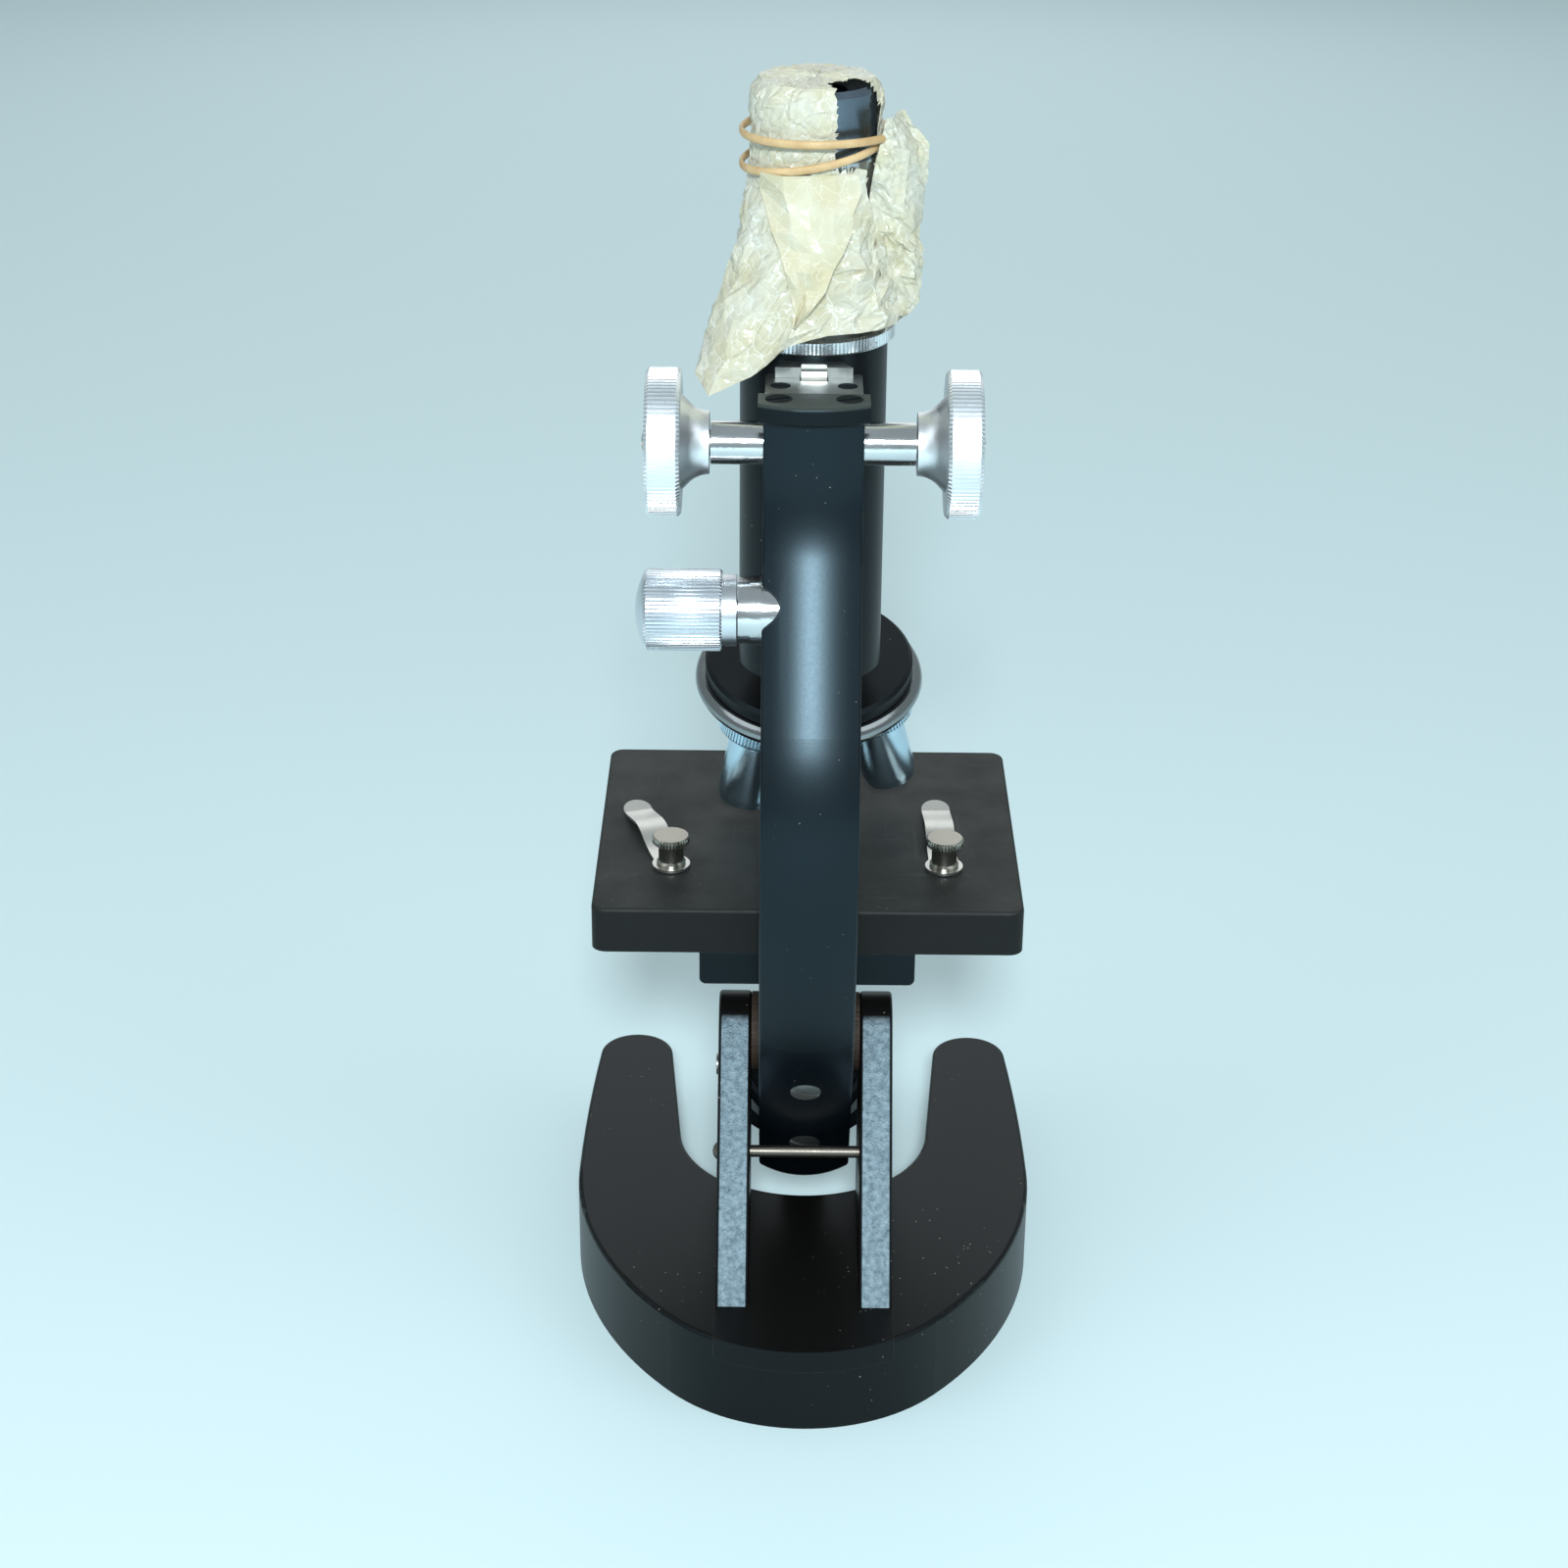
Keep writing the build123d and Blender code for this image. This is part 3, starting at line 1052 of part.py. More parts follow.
def pinion_shaft():
    """Knob shaft with the pinion cut in its middle and a screw hole in each end."""
    half = PINION_WIDTH / 2
    teeth = extrude(Pos(0, 0, -half) * pinion_face(), PINION_WIDTH)
    shaft = Plane((0, PINION_Y, PINION_Z), x_dir=(0, 1, 0), z_dir=(1, 0, 0)).location * teeth
    for side in (-1, 1):
        shaft += along_x(rod(SHAFT_R, SHAFT_END - half), side * half, PINION_Y, PINION_Z, side)
        hole = rod(KNOB_SCREW_R + SEAT, KNOB_SCREW_LENGTH)
        shaft -= along_x(hole, side * (KNOB_OUTER_X - KNOB_SCREW_LENGTH), PINION_Y, PINION_Z, side)
    return shaft


def coarse_knob(side):
    """Turned knob: a slim hub that flares to a broad rim."""
    rim = KNOB_RIM_X - KNOB_INNER_X
    face = KNOB_OUTER_X - KNOB_INNER_X
    bore_end = SHAFT_END - KNOB_INNER_X
    bore = SHAFT_R + SEAT
    hole = KNOB_SCREW_R + SEAT
    waist = (KNOB_HUB_R + (KNOB_NECK_R - KNOB_HUB_R) * 0.22, rim * 0.62)
    flare = ThreePointArc((KNOB_HUB_R, 0), waist, (KNOB_NECK_R, rim))
    outline = Polyline(
        (KNOB_NECK_R, rim),
        (KNOB_RIM_R - KNOB_EDGE, rim),
        (KNOB_RIM_R, rim + KNOB_EDGE),
        (KNOB_RIM_R, face - KNOB_EDGE),
        (KNOB_RIM_R - KNOB_EDGE, face),
        (hole, face),
        (hole, bore_end),
        (bore, bore_end),
        (bore, 0),
        (KNOB_HUB_R, 0),
    )
    return along_x(turned(face_of(flare, outline)), side * KNOB_INNER_X, PINION_Y, PINION_Z, side)


def coarse_knob_screws():
    length = KNOB_SCREW_LENGTH - LOOSE
    screw = slotted_screw(KNOB_SCREW_R, length, KNOB_SCREW_HEAD_R, KNOB_SCREW_HEAD, KNOB_SCREW_DOME)
    return group(along_x(screw, side * KNOB_OUTER_X, PINION_Y, PINION_Z, side) for side in (-1, 1))


def body_tube():
    length = TUBE_TOP - TUBE_BOTTOM
    return AXIS * Pos(0, 0, TUBE_BOTTOM) * (rod(TUBE_R, length) - rod(TUBE_BORE_R, length))


def tube_slide():
    """Dovetail slide on the back of the tube, hollowed to fit it, with a bed for the rack."""
    slide = plan_prism(slide_face(0, SLIDE_BACK, AXIS_Y - TUBE_R / 2), SLIDE_BOTTOM, SLIDE_TOP)
    slide -= AXIS * Pos(0, 0, SLIDE_BOTTOM) * rod(TUBE_R + SEAT, SLIDE_TOP - SLIDE_BOTTOM)
    half = RACK_WIDTH / 2 + SEAT
    slide -= span_box((-half, half), (SLIDE_BACK, RACK_BACK + SEAT), (RACK_BOTTOM, SLIDE_TOP))
    return slide


def focus_rack():
    """Rack whose teeth face the pinion, with a gap between teeth level with the pinion's axis."""
    slant = tan(radians(PRESSURE_ANGLE))
    tip_y = RACK_PITCH_Y - ADDENDUM * MODULE
    root_y = RACK_PITCH_Y + DEDENDUM * MODULE
    half = PITCH / 4 - BACKLASH / 2
    half_tip = half - ADDENDUM * MODULE * slant
    half_root = half + DEDENDUM * MODULE * slant
    first = round((RACK_BOTTOM - PINION_Z) / PITCH) + 1
    last = round((RACK_TOP - PINION_Z) / PITCH) - 1
    points = [(RACK_BACK, RACK_TOP), (RACK_BACK, RACK_BOTTOM), (root_y, RACK_BOTTOM)]
    for tooth in range(first, last):
        middle = PINION_Z + (tooth + 0.5) * PITCH
        points += [(root_y, middle - half_root), (tip_y, middle - half_tip)]
        points += [(tip_y, middle + half_tip), (root_y, middle + half_root)]
    points.append((root_y, RACK_TOP))
    return side_prism(polygon(*points), RACK_WIDTH / 2)


def tube_ring():
    """Ring on the tube's top, with a spigot that guides the draw tube."""
    bore = DRAW_R + RUN
    spigot = TUBE_BORE_R - SEAT
    edge = RING_HEIGHT / 8
    outline = (
        (bore, -RING_SPIGOT),
        (spigot, -RING_SPIGOT),
        (spigot, 0),
        (RING_R - edge, 0),
        (RING_R, edge),
        (RING_R, RING_HEIGHT - edge),
        (RING_R - edge, RING_HEIGHT),
        (bore, RING_HEIGHT),
    )
    return AXIS * Pos(0, 0, TUBE_TOP) * turned(polygon(*outline))


def draw_tube():
    length = DRAW_TOP - DRAW_BOTTOM
    return AXIS * Pos(0, 0, DRAW_BOTTOM) * (rod(DRAW_R, length) - rod(DRAW_BORE_R, length))


def eyepiece_body():
    """Barrel in the draw tube with a broader head that rests on the tube's end."""
    head = EYE_TOP - DRAW_TOP
    deep = EYE_BARREL_BOTTOM - DRAW_TOP
    seat = head - 2 * EYE_LENS_THICK
    ledge = EYE_BARREL_BORE_R - EYE_LEDGE
    middle = ((EYE_R + EYE_HOLE_R) / 2, head - EYE_DISH_MIDDLE)
    dish = ThreePointArc((EYE_R - EYE_EDGE, head), middle, (EYE_HOLE_R, head - EYE_DISH))
    outline = Polyline(
        (EYE_HOLE_R, head - EYE_DISH),
        (EYE_HOLE_R, seat + EYE_LENS_THICK),
        (ledge, seat + EYE_LENS_THICK),
        (ledge, seat),
        (EYE_BARREL_BORE_R, seat),
        (EYE_BARREL_BORE_R, deep),
        (EYE_BARREL_R, deep),
        (EYE_BARREL_R, 0),
        (EYE_R, 0),
        (EYE_R, head - EYE_EDGE),
        (EYE_R - EYE_EDGE, head),
    )
    return AXIS * Pos(0, 0, DRAW_TOP) * turned(face_of(dish, outline))


def lens(radius, thick, bulge):
    """Plano-convex lens, flat side down."""
    edge = Polyline((0, thick), (0, 0), (radius, 0), (radius, thick - bulge))
    return turned(face_of(dome(radius, thick - bulge, thick), edge))


def eye_lens():
    seat = EYE_TOP - 2 * EYE_LENS_THICK
    radius = EYE_BARREL_BORE_R - EYE_LEDGE - SEAT
    return AXIS * Pos(0, 0, seat) * lens(radius, EYE_LENS_THICK, EYE_LENS_BULGE)


def field_lens():
    glass = lens(EYE_BARREL_BORE_R - SEAT, FIELD_LENS_THICK, FIELD_LENS_BULGE)
    return AXIS * Pos(0, 0, EYE_BARREL_BOTTOM) * glass


def field_stop():
    ring = rod(EYE_BARREL_BORE_R - SEAT, FIELD_STOP_THICK) - rod(FIELD_STOP_R, FIELD_STOP_THICK)
    return AXIS * Pos(0, 0, FIELD_STOP_Z) * ring


def nosepiece_plate():
    """Fixed plate of the nosepiece, with a neck and a spigot into the body tube."""
    neck_bottom = NOSE_Z - NOSE_PLATE_R
    neck = AXIS * Pos(0, 0, neck_bottom) * rod(NOSE_NECK_R, TUBE_BOTTOM - neck_bottom)
    neck += AXIS * Pos(0, 0, TUBE_BOTTOM) * rod(TUBE_BORE_R - SEAT, NOSE_SPIGOT)
    below = Pos(0, 0, -NOSE_PLATE_THICK - NOSE_PLATE_R) * Box(*3 * [4 * NOSE_PLATE_R], align=UP)
    below = Pos(0, 0, -4 * NOSE_PLATE_R + NOSE_PLATE_R) * below
    neck -= NOSE_PLANE.location * below
    disc = Pos(0, 0, -NOSE_PLATE_THICK) * rod(NOSE_PLATE_R, NOSE_PLATE_THICK)
    disc = chamfer(disc.edges().sort_by(Axis.Z)[-1:], NOSE_PLATE_EDGE)
    plate = neck + NOSE_PLANE.location * disc
    plate -= AXIS * Pos(0, 0, neck_bottom - NOSE_PLATE_R) * rod(NOSE_BORE_R, 3 * NOSE_PLATE_R)
    hole = Pos(0, 0, -NOSE_PLATE_THICK) * rod(NOSE_SCREW_R + SEAT, NOSE_PLATE_THICK * 0.8)
    return plate - NOSE_PLANE.location * hole


def shell_cone(radius):
    """Depth of the shell's lower cone, to which every objective stands square."""
    return -OBJECTIVE_SHOULDER - (OBJECTIVE_CIRCLE - radius) * tan(radians(NOSE_TILT))


def objective_planes():
    """A plane for each objective: on its shoulder, facing up along the objective."""
    planes = {}
    lean = radians(NOSE_TILT)
    for name, (station, _) in OBJECTIVES.items():
        turn = radians(TURRET_REST + station)
        out = Vector(sin(turn), -cos(turn), 0)
        spot = out * OBJECTIVE_CIRCLE + Vector(0, 0, -OBJECTIVE_SHOULDER)
        heading = out * -sin(lean) + Vector(0, 0, cos(lean))
        across = Vector(cos(turn), sin(turn), 0)
        planes[name] = NOSE_PLANE.location * Plane(spot, x_dir=across, z_dir=heading).location
    return planes


def turret_shell():
    """Revolving shell: a rounded rim over a shallow cone, hollow, with a hub."""
    top = -NOSE_PLATE_THICK - SHELL_GAP
    bore = NOSE_SCREW_R + RUN
    hub_top = shell_cone(SHELL_HUB_R + 1) + SHELL_WALL
    swell = (SHELL_R - SHELL_RIM_SWELL[0], SHELL_RIM_SWELL[1] - SHELL_EQUATOR)
    rim = ThreePointArc((SHELL_RIM_R, top), swell, (SHELL_R, -SHELL_EQUATOR))
    lower = (SHELL_LOWER_R, shell_cone(SHELL_LOWER_R))
    belly = ((SHELL_R + lower[0]) / 2 + SHELL_BELLY[0], (lower[1] - SHELL_EQUATOR) / 2 - SHELL_BELLY[1])
    side = ThreePointArc((SHELL_R, -SHELL_EQUATOR), belly, lower)
    outline = Polyline(
        lower,
        (SHELL_HUB_R, shell_cone(SHELL_HUB_R)),
        (SHELL_HUB_R, -SHELL_HUB_END),
        (bore, -SHELL_HUB_END),
        (bore, top),
        (SHELL_HUB_R + 1, top),
        (SHELL_HUB_R + 1, hub_top),
        (SHELL_CAVITY_R, shell_cone(SHELL_CAVITY_R) + SHELL_WALL),
        (SHELL_CAVITY_R, top),
        (SHELL_RIM_R, top),
    )
    shell = NOSE_PLANE.location * turned(face_of(rim, side, outline))
    for place in objective_planes().values():
        shell -= place * Pos(0, 0, -OBJECTIVE_THREAD) * rod(OBJECTIVE_THREAD_R + SEAT, 2 * OBJECTIVE_THREAD)
    return shell


def nosepiece_screw():
    head_top = -SHELL_HUB_END - SHELL_GAP
    screw = slotted_screw(NOSE_SCREW_R, -NOSE_PLATE_THICK * 0.3 - head_top, NOSE_SCREW_HEAD_R, NOSE_SCREW_HEAD)
    return NOSE_PLANE.location * Pos(0, 0, head_top) * Rot(180, 0, 0) * screw


def objective(name):
    """Threaded collar, milled ring and slightly tapered barrel, hollow to its front lens."""
    _, length = OBJECTIVES[name]
    edge = OBJECTIVE_RING / 10
    groove = OBJECTIVE_BARREL_R - OBJECTIVE_GROOVE
    groove_end = -OBJECTIVE_RING - OBJECTIVE_GROOVE_LENGTH
    lens_seat = -length + OBJECTIVE_LENS_THICK
    outline = (
        (OBJECTIVE_BORE_R, OBJECTIVE_THREAD),
        (OBJECTIVE_THREAD_R, OBJECTIVE_THREAD),
        (OBJECTIVE_THREAD_R, 0),
        (OBJECTIVE_RING_R - edge, 0),
        (OBJECTIVE_RING_R, -edge),
        (OBJECTIVE_RING_R, edge - OBJECTIVE_RING),
        (OBJECTIVE_RING_R - edge, -OBJECTIVE_RING),
        (groove, -OBJECTIVE_RING),
        (groove, groove_end),
        (OBJECTIVE_BARREL_R, groove_end),
        (OBJECTIVE_BARREL_R, -length + OBJECTIVE_TAPER),
        (OBJECTIVE_NOSE_R, -length),
        (OBJECTIVE_LENS_R + SEAT, -length),
        (OBJECTIVE_LENS_R + SEAT, lens_seat),
        (OBJECTIVE_BORE_R, lens_seat),
    )
    return objective_planes()[name] * turned(polygon(*outline))


def objective_lenses():
    glass = lens(OBJECTIVE_LENS_R, OBJECTIVE_LENS_THICK, OBJECTIVE_LENS_BULGE)
    glass = Pos(0, 0, OBJECTIVE_LENS_RECESS) * glass
    places = objective_planes()
    return group(places[name] * Pos(0, 0, -length) * glass for name, (_, length) in OBJECTIVES.items())


def fine_bush():
    """Fixed bush that closes the cam's cavity and carries the fine spindle."""
    spigot = CAVITY_R - SEAT
    bore = SPINDLE_R + RUN
    inner = BUSH_INNER_X - HALF_ARM
    outline = (
        (bore, inner),
        (spigot, inner),
        (spigot, 0),
        (BUSH_FLANGE_R, 0),
        (BUSH_FLANGE_R, BUSH_FLANGE_X - HALF_ARM),
        (BUSH_COLLAR_R, BUSH_FLANGE_X - HALF_ARM),
        (BUSH_COLLAR_R, BUSH_COLLAR_X - HALF_ARM),
        (bore, BUSH_COLLAR_X - HALF_ARM),
    )
    return along_x(turned(polygon(*outline)), -HALF_ARM, FINE_Y, FINE_Z, -1)


def fine_knob():
    """Knob with a collar at its root and a domed end."""
    end = FINE_COLLAR + FINE_KNOB_LENGTH
    bore = SPINDLE_R + SEAT
    bore_end = end * FINE_BORE_SHARE
    outline = Polyline(
        (0, end + FINE_DOME),
        (0, bore_end),
        (bore, bore_end),
        (bore, 0),
        (FINE_COLLAR_R, 0),
        (FINE_COLLAR_R, FINE_COLLAR),
        (FINE_KNOB_R, FINE_COLLAR),
        (FINE_KNOB_R, end - FINE_EDGE),
        (FINE_KNOB_R - FINE_EDGE, end),
    )
    knob = turned(face_of(dome(FINE_KNOB_R - FINE_EDGE, end, end + FINE_DOME), outline))
    return along_x(knob, -FINE_KNOB_X, FINE_Y, FINE_Z, -1)


def fine_spindle():
    end = FINE_KNOB_X + (FINE_COLLAR + FINE_KNOB_LENGTH) * FINE_BORE_SHARE - LOOSE
    return rod_x(SPINDLE_R, -end, SPINDLE_PILOT, FINE_Y, FINE_Z)


def fine_cam():
    """Snail cam: its radius grows evenly round the turn, so the pin above rises evenly."""
    points = []
    for step in range(CAM_POINTS + 1):
        turn = -180 + 360 * step / CAM_POINTS
        radius = CAM_R - CAM_RISE * turn
        angle = radians(90 + turn)
        points.append((radius * cos(angle), radius * sin(angle)))
    edge = Spline(*points)
    snail = face_of(edge, Line(points[-1], points[0]))
    start, end = CAM_X
    cam = extrude(snail, end - start) - rod(SPINDLE_R + SEAT, end - start)
    return Plane((start, FINE_Y, FINE_Z), x_dir=(0, 1, 0), z_dir=(1, 0, 0)).location * cam


def film_spot(column, row, inset):
    """Corner of a facet of the film: folded, creased, and drawn into a tail on the left."""
    drop, spread, fold, crease = FILM_ROWS[row]
    angle = 360 * (column % FILM_COLUMNS) / FILM_COLUMNS
    loose = max(0.0, 1 - row / FILM_LOOSE_ROWS)
    tail = exp(-(((angle - FILM_TAIL_TURN) / FILM_TAIL_SPREAD) ** 2)) * loose**1.5
    side = 1 if (column + row) % 2 else -1
    radius = FILM_NECK_R + spread * (FILM_HEM_R - FILM_NECK_R) - inset
    radius += fold * sin(radians(FILM_FOLDS * angle) + FILM_DRIFT * row)
    radius += side * crease + FILM_TAIL_REACH * tail
    lid_inset = inset if row == len(FILM_ROWS) - 1 else 0.0
    turn = radians(angle)
    height = EYE_TOP - drop - FILM_TAIL_DROP * tail - lid_inset
    return (radius * cos(turn), AXIS_Y + radius * sin(turn), height)


def film_torn(column, row):
    middle = 360 * (column % FILM_COLUMNS + 0.5) / FILM_COLUMNS
    first, last = FILM_TEAR_ROWS
    return FILM_TEAR[0] < middle < FILM_TEAR[1] and first <= row < last


def film_facets():
    """Triangles of the film's outer and inner side, with walls round its hem and the tear."""
    rows = len(FILM_ROWS) - 1
    facets = []

    def wall(start, end):
        facets.append((film_spot(*start, 0), film_spot(*end, 0), film_spot(*end, FILM)))
        facets.append((film_spot(*start, 0), film_spot(*end, FILM), film_spot(*start, FILM)))

    for column in range(FILM_COLUMNS):
        wall((column, 0), (column + 1, 0))
        for row in range(rows):
            if film_torn(column, row):
                continue
            corners = (column, row), (column + 1, row), (column + 1, row + 1), (column, row + 1)
            for inset in (0, FILM):
                spots = [film_spot(*corner, inset) for corner in corners]
                if (column + row) % 2 == 0:
                    spots = spots[1:] + spots[:1]
                facets += [(spots[0], spots[1], spots[2]), (spots[0], spots[2], spots[3])]
            if film_torn(column + 1, row):
                wall(corners[1], corners[2])
            if film_torn(column - 1, row):
                wall(corners[0], corners[3])
            if film_torn(column, row + 1):
                wall(corners[3], corners[2])
        if film_torn(column, rows - 1):
            wall((column, rows), (column + 1, rows))
        for inset in (0, FILM):
            middle = (0, AXIS_Y, FILM_TOP - inset)
            facets.append((film_spot(column, rows, inset), film_spot(column + 1, rows, inset), middle))
    return facets


def eyepiece_wrap():
    """Film drawn over the eyepiece: a creased skirt with a tail, torn open behind a stiff flap."""
    skin = Shell([Face(Wire.make_polygon(facet, close=True)) for facet in film_facets()])
    seam = [film_spot(0, row, FILM / 2) for row in range(len(FILM_ROWS))]
    hem = [(x, z) for x, _, z in seam[:FILM_LOOSE_ROWS]]
    peak = (seam[-2][0], seam[-2][2])
    widening = FILM_HEM_R - FILM_NECK_R
    flap = [(FILM_NECK_R + spread * widening + past, EYE_TOP - drop) for spread, past, drop in FILM_FLAP]
    notch = [(FILM_NECK_R + past, EYE_TOP - drop) for past, drop in FILM_FLAP_NOTCH]
    outline = polygon(peak, *flap, *hem, *notch)
    return Solid(skin) + AXIS * extrude(Plane.XZ * outline, FILM / 2, both=True)


def band_point(turn):
    """Point of the doubled rubber band: it closes after two turns and passes itself once."""
    radius = BAND_TURN_R + BAND_CROSS * sin(turn / 2)
    height = BAND_Z + BAND_RISE * cos(turn / 2)
    return Vector(-radius * cos(turn), AXIS_Y - radius * sin(turn), height)


def biarc(start, heading, end, arrival):
    """Two arcs that join two points with the headings given."""
    across = end - start
    both = heading + arrival
    square = 2 * (1 - heading.dot(arrival))
    pull = across.dot(both)
    span = across.dot(across)
    reach = (sqrt(pull**2 + square * span) - pull) / square if square > 1e-9 else span / (2 * pull)
    meet = (start + heading * reach + end - arrival * reach) / 2
    first = Edge.make_tangent_arc(start, heading, meet)
    return [first, Edge.make_tangent_arc(meet, first % 1, end)]


def rubber_band():
    """One unbroken loop of round band wound twice about the film."""
    step = 4 * pi / BAND_SPANS
    nudge = 1e-4
    spots = [band_point(step * span) for span in range(BAND_SPANS + 1)]
    headings = [
        (band_point(step * span + nudge) - band_point(step * span - nudge)).normalized()
        for span in range(BAND_SPANS + 1)
    ]
    arcs = []
    for span in range(BAND_SPANS):
        arcs += biarc(spots[span], headings[span], spots[span + 1], headings[span + 1])
    print("rubber band: least gap to itself", round(band_gap(Wire(arcs)), 2), "mm")
    half = BAND_SPANS // 2
    first = sweep(Plane(spots[0], z_dir=headings[0]) * Circle(BAND_R), Wire(arcs[:BAND_SPANS]))
    second = sweep(Plane(spots[half], z_dir=headings[half]) * Circle(BAND_R), Wire(arcs[BAND_SPANS:]))
    return first + second


def band_gap(path):
    """Least clear distance between the band's two turns, measured on points along it."""
    count = 240
    points = [path @ (index / count) for index in range(count)]
    apart = count // 4
    gaps = [
        (points[first] - points[second]).length
        for first in range(count)
        for second in range(first + apart, min(count, first + count - apart))
    ]
    return min(gaps) - 2 * BAND_R


PIECES = {
    "horseshoe_base": horseshoe_base,
    "pillar": pillar,
    "pillar_screws": pillar_screws,
    "pivot_pin": pivot_pin,
    "stop_pin": stop_pin,
    "friction_washers": friction_washers,
    "arm": arm,
    "arm_cap": arm_cap,
    "arm_cap_screws": arm_cap_screws,
    "arm_foot_screws": arm_foot_screws,
    "stage_bracket": stage_bracket,
    "bracket_screws": bracket_screws,
    "stage_plate": stage_plate,
    "stage_screws": stage_screws,
    "stage_clip_left": lambda: stage_clip("left"),
    "stage_clip_right": lambda: stage_clip("right"),
    "clip_screw_left": lambda: clip_screw("left"),
    "clip_screw_right": lambda: clip_screw("right"),
    "mirror_tailpiece": mirror_tailpiece,
    "tail_screw": tail_screw,
    "mirror_fork": mirror_fork,
    "fork_nut": fork_nut,
    "mirror_pins": mirror_pins,
    "mirror_cell": mirror_cell,
    "mirror_flat_glass": mirror_flat_glass,
    "mirror_concave_glass": mirror_concave_glass,
    "bearing_block": bearing_block,
    "block_screws": block_screws,
    "fine_lift_pin": fine_lift_pin,
    "pinion_sleeve_left": lambda: pinion_sleeve(-1),
    "pinion_sleeve_right": lambda: pinion_sleeve(1),
    "pinion_shaft": pinion_shaft,
    "coarse_knob_left": lambda: coarse_knob(-1),
    "coarse_knob_right": lambda: coarse_knob(1),
    "coarse_knob_screws": coarse_knob_screws,
    "body_tube": body_tube,
    "tube_slide": tube_slide,
    "focus_rack": focus_rack,
    "tube_ring": tube_ring,
    "draw_tube": draw_tube,
    "eyepiece_body": eyepiece_body,
    "eye_lens": eye_lens,
    "field_lens": field_lens,
    "field_stop": field_stop,
    "nosepiece_plate": nosepiece_plate,
    "nosepiece_screw": nosepiece_screw,
    "turret_shell": turret_shell,
    "objective_left": lambda: objective("objective_left"),
    "objective_right": lambda: objective("objective_right"),
    "objective_short": lambda: objective("objective_short"),
    "objective_lenses": objective_lenses,
    "fine_bush": fine_bush,
    "fine_knob": fine_knob,
    "fine_spindle": fine_spindle,
    "fine_cam": fine_cam,
    "eyepiece_wrap": eyepiece_wrap,
    "rubber_band": rubber_band,
}

os.makedirs("parts", exist_ok=True)
for name, make in PIECES.items():
    export_step(make(), "parts/" + name + ".step")
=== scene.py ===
# %% [markdown]
# # A student's compound microscope
#
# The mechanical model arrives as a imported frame: every rigid piece is already in place, in metres.
# This lesson adds what the frame lacks: paint, plating, milled edges, glass, a crumpled film over the
# eyepiece and the rubber band that holds it. It also sets the floor, the light and the camera.

import json
from math import atan2, cos, degrees, exp, hypot, pi, radians, sin
from random import Random

import bmesh
import bpy
from mathutils import Matrix, Vector


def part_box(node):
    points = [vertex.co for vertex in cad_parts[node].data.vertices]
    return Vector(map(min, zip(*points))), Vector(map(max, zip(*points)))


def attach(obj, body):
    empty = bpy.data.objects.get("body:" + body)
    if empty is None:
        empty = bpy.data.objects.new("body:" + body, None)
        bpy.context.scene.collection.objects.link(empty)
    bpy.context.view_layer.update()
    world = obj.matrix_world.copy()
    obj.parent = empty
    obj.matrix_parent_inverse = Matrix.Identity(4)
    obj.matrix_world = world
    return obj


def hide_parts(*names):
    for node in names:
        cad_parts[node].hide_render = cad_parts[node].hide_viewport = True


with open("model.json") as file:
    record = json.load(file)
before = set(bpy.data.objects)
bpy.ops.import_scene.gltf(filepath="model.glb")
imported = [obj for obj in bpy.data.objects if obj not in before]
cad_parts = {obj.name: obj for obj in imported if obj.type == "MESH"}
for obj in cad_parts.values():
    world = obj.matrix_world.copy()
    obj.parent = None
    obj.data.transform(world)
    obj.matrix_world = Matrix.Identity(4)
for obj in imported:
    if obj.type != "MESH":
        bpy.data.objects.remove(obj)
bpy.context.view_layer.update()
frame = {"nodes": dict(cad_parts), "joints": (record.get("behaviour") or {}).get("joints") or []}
nodes = frame["nodes"]
joints = {joint["name"]: joint for joint in frame["joints"]}
MM = 0.001
MERGE = 0.000002      # points closer than this become one, metres


def show(thing):
    """Put a new object in the scene."""
    bpy.context.scene.collection.objects.link(thing)


# %% [markdown]
# ## Camera
#
# A camera can be placed by eye or solved from known points. Here it was solved: the stage's corners and
# the base's outline gave the focal length, the height and the tilt. A small roll levels the horizon.

# %% Camera
PHOTO_PIXELS = 1600
FOCAL_PIXELS = 3082
PITCH_DOWN = radians(25.62)
ROLL = radians(0.55)
CAMERA_PLACE = (-5.18, -578.45, 396.4)      # millimetres
lens_data = bpy.data.cameras.new("photo_camera")
lens_data.lens = lens_data.sensor_width * FOCAL_PIXELS / PHOTO_PIXELS
camera = bpy.data.objects.new("photo_camera", lens_data)
camera.location = Vector(CAMERA_PLACE) * MM
tilt = Matrix.Rotation(pi / 2 - PITCH_DOWN, 3, "X")
camera.rotation_euler = (tilt @ Matrix.Rotation(ROLL, 3, "Z")).to_euler()
show(camera)
bpy.context.scene.camera = camera
bpy.context.scene.view_settings.view_transform = "Standard"
print("lens", round(lens_data.lens, 2), "mm")

# %% [markdown]
# ## Helpers for materials
#
# A finish starts from the Principled shader. Its even values are set on the shader's own sockets, and
# only what changes over the surface comes from texture nodes. All patterns read Object coordinates, so
# they stay on the piece when it moves.


# %% Helpers for materials
def new_finish(name, colour, roughness, metallic=0.0):
    """A material with a Principled shader and its even values set."""
    finish = bpy.data.materials.new(name)
    finish.use_nodes = True
    shader = finish.node_tree.nodes["Principled BSDF"]
    shader.inputs["Base Color"].default_value = (*colour, 1)
    shader.inputs["Roughness"].default_value = roughness
    shader.inputs["Metallic"].default_value = metallic
    return finish, shader


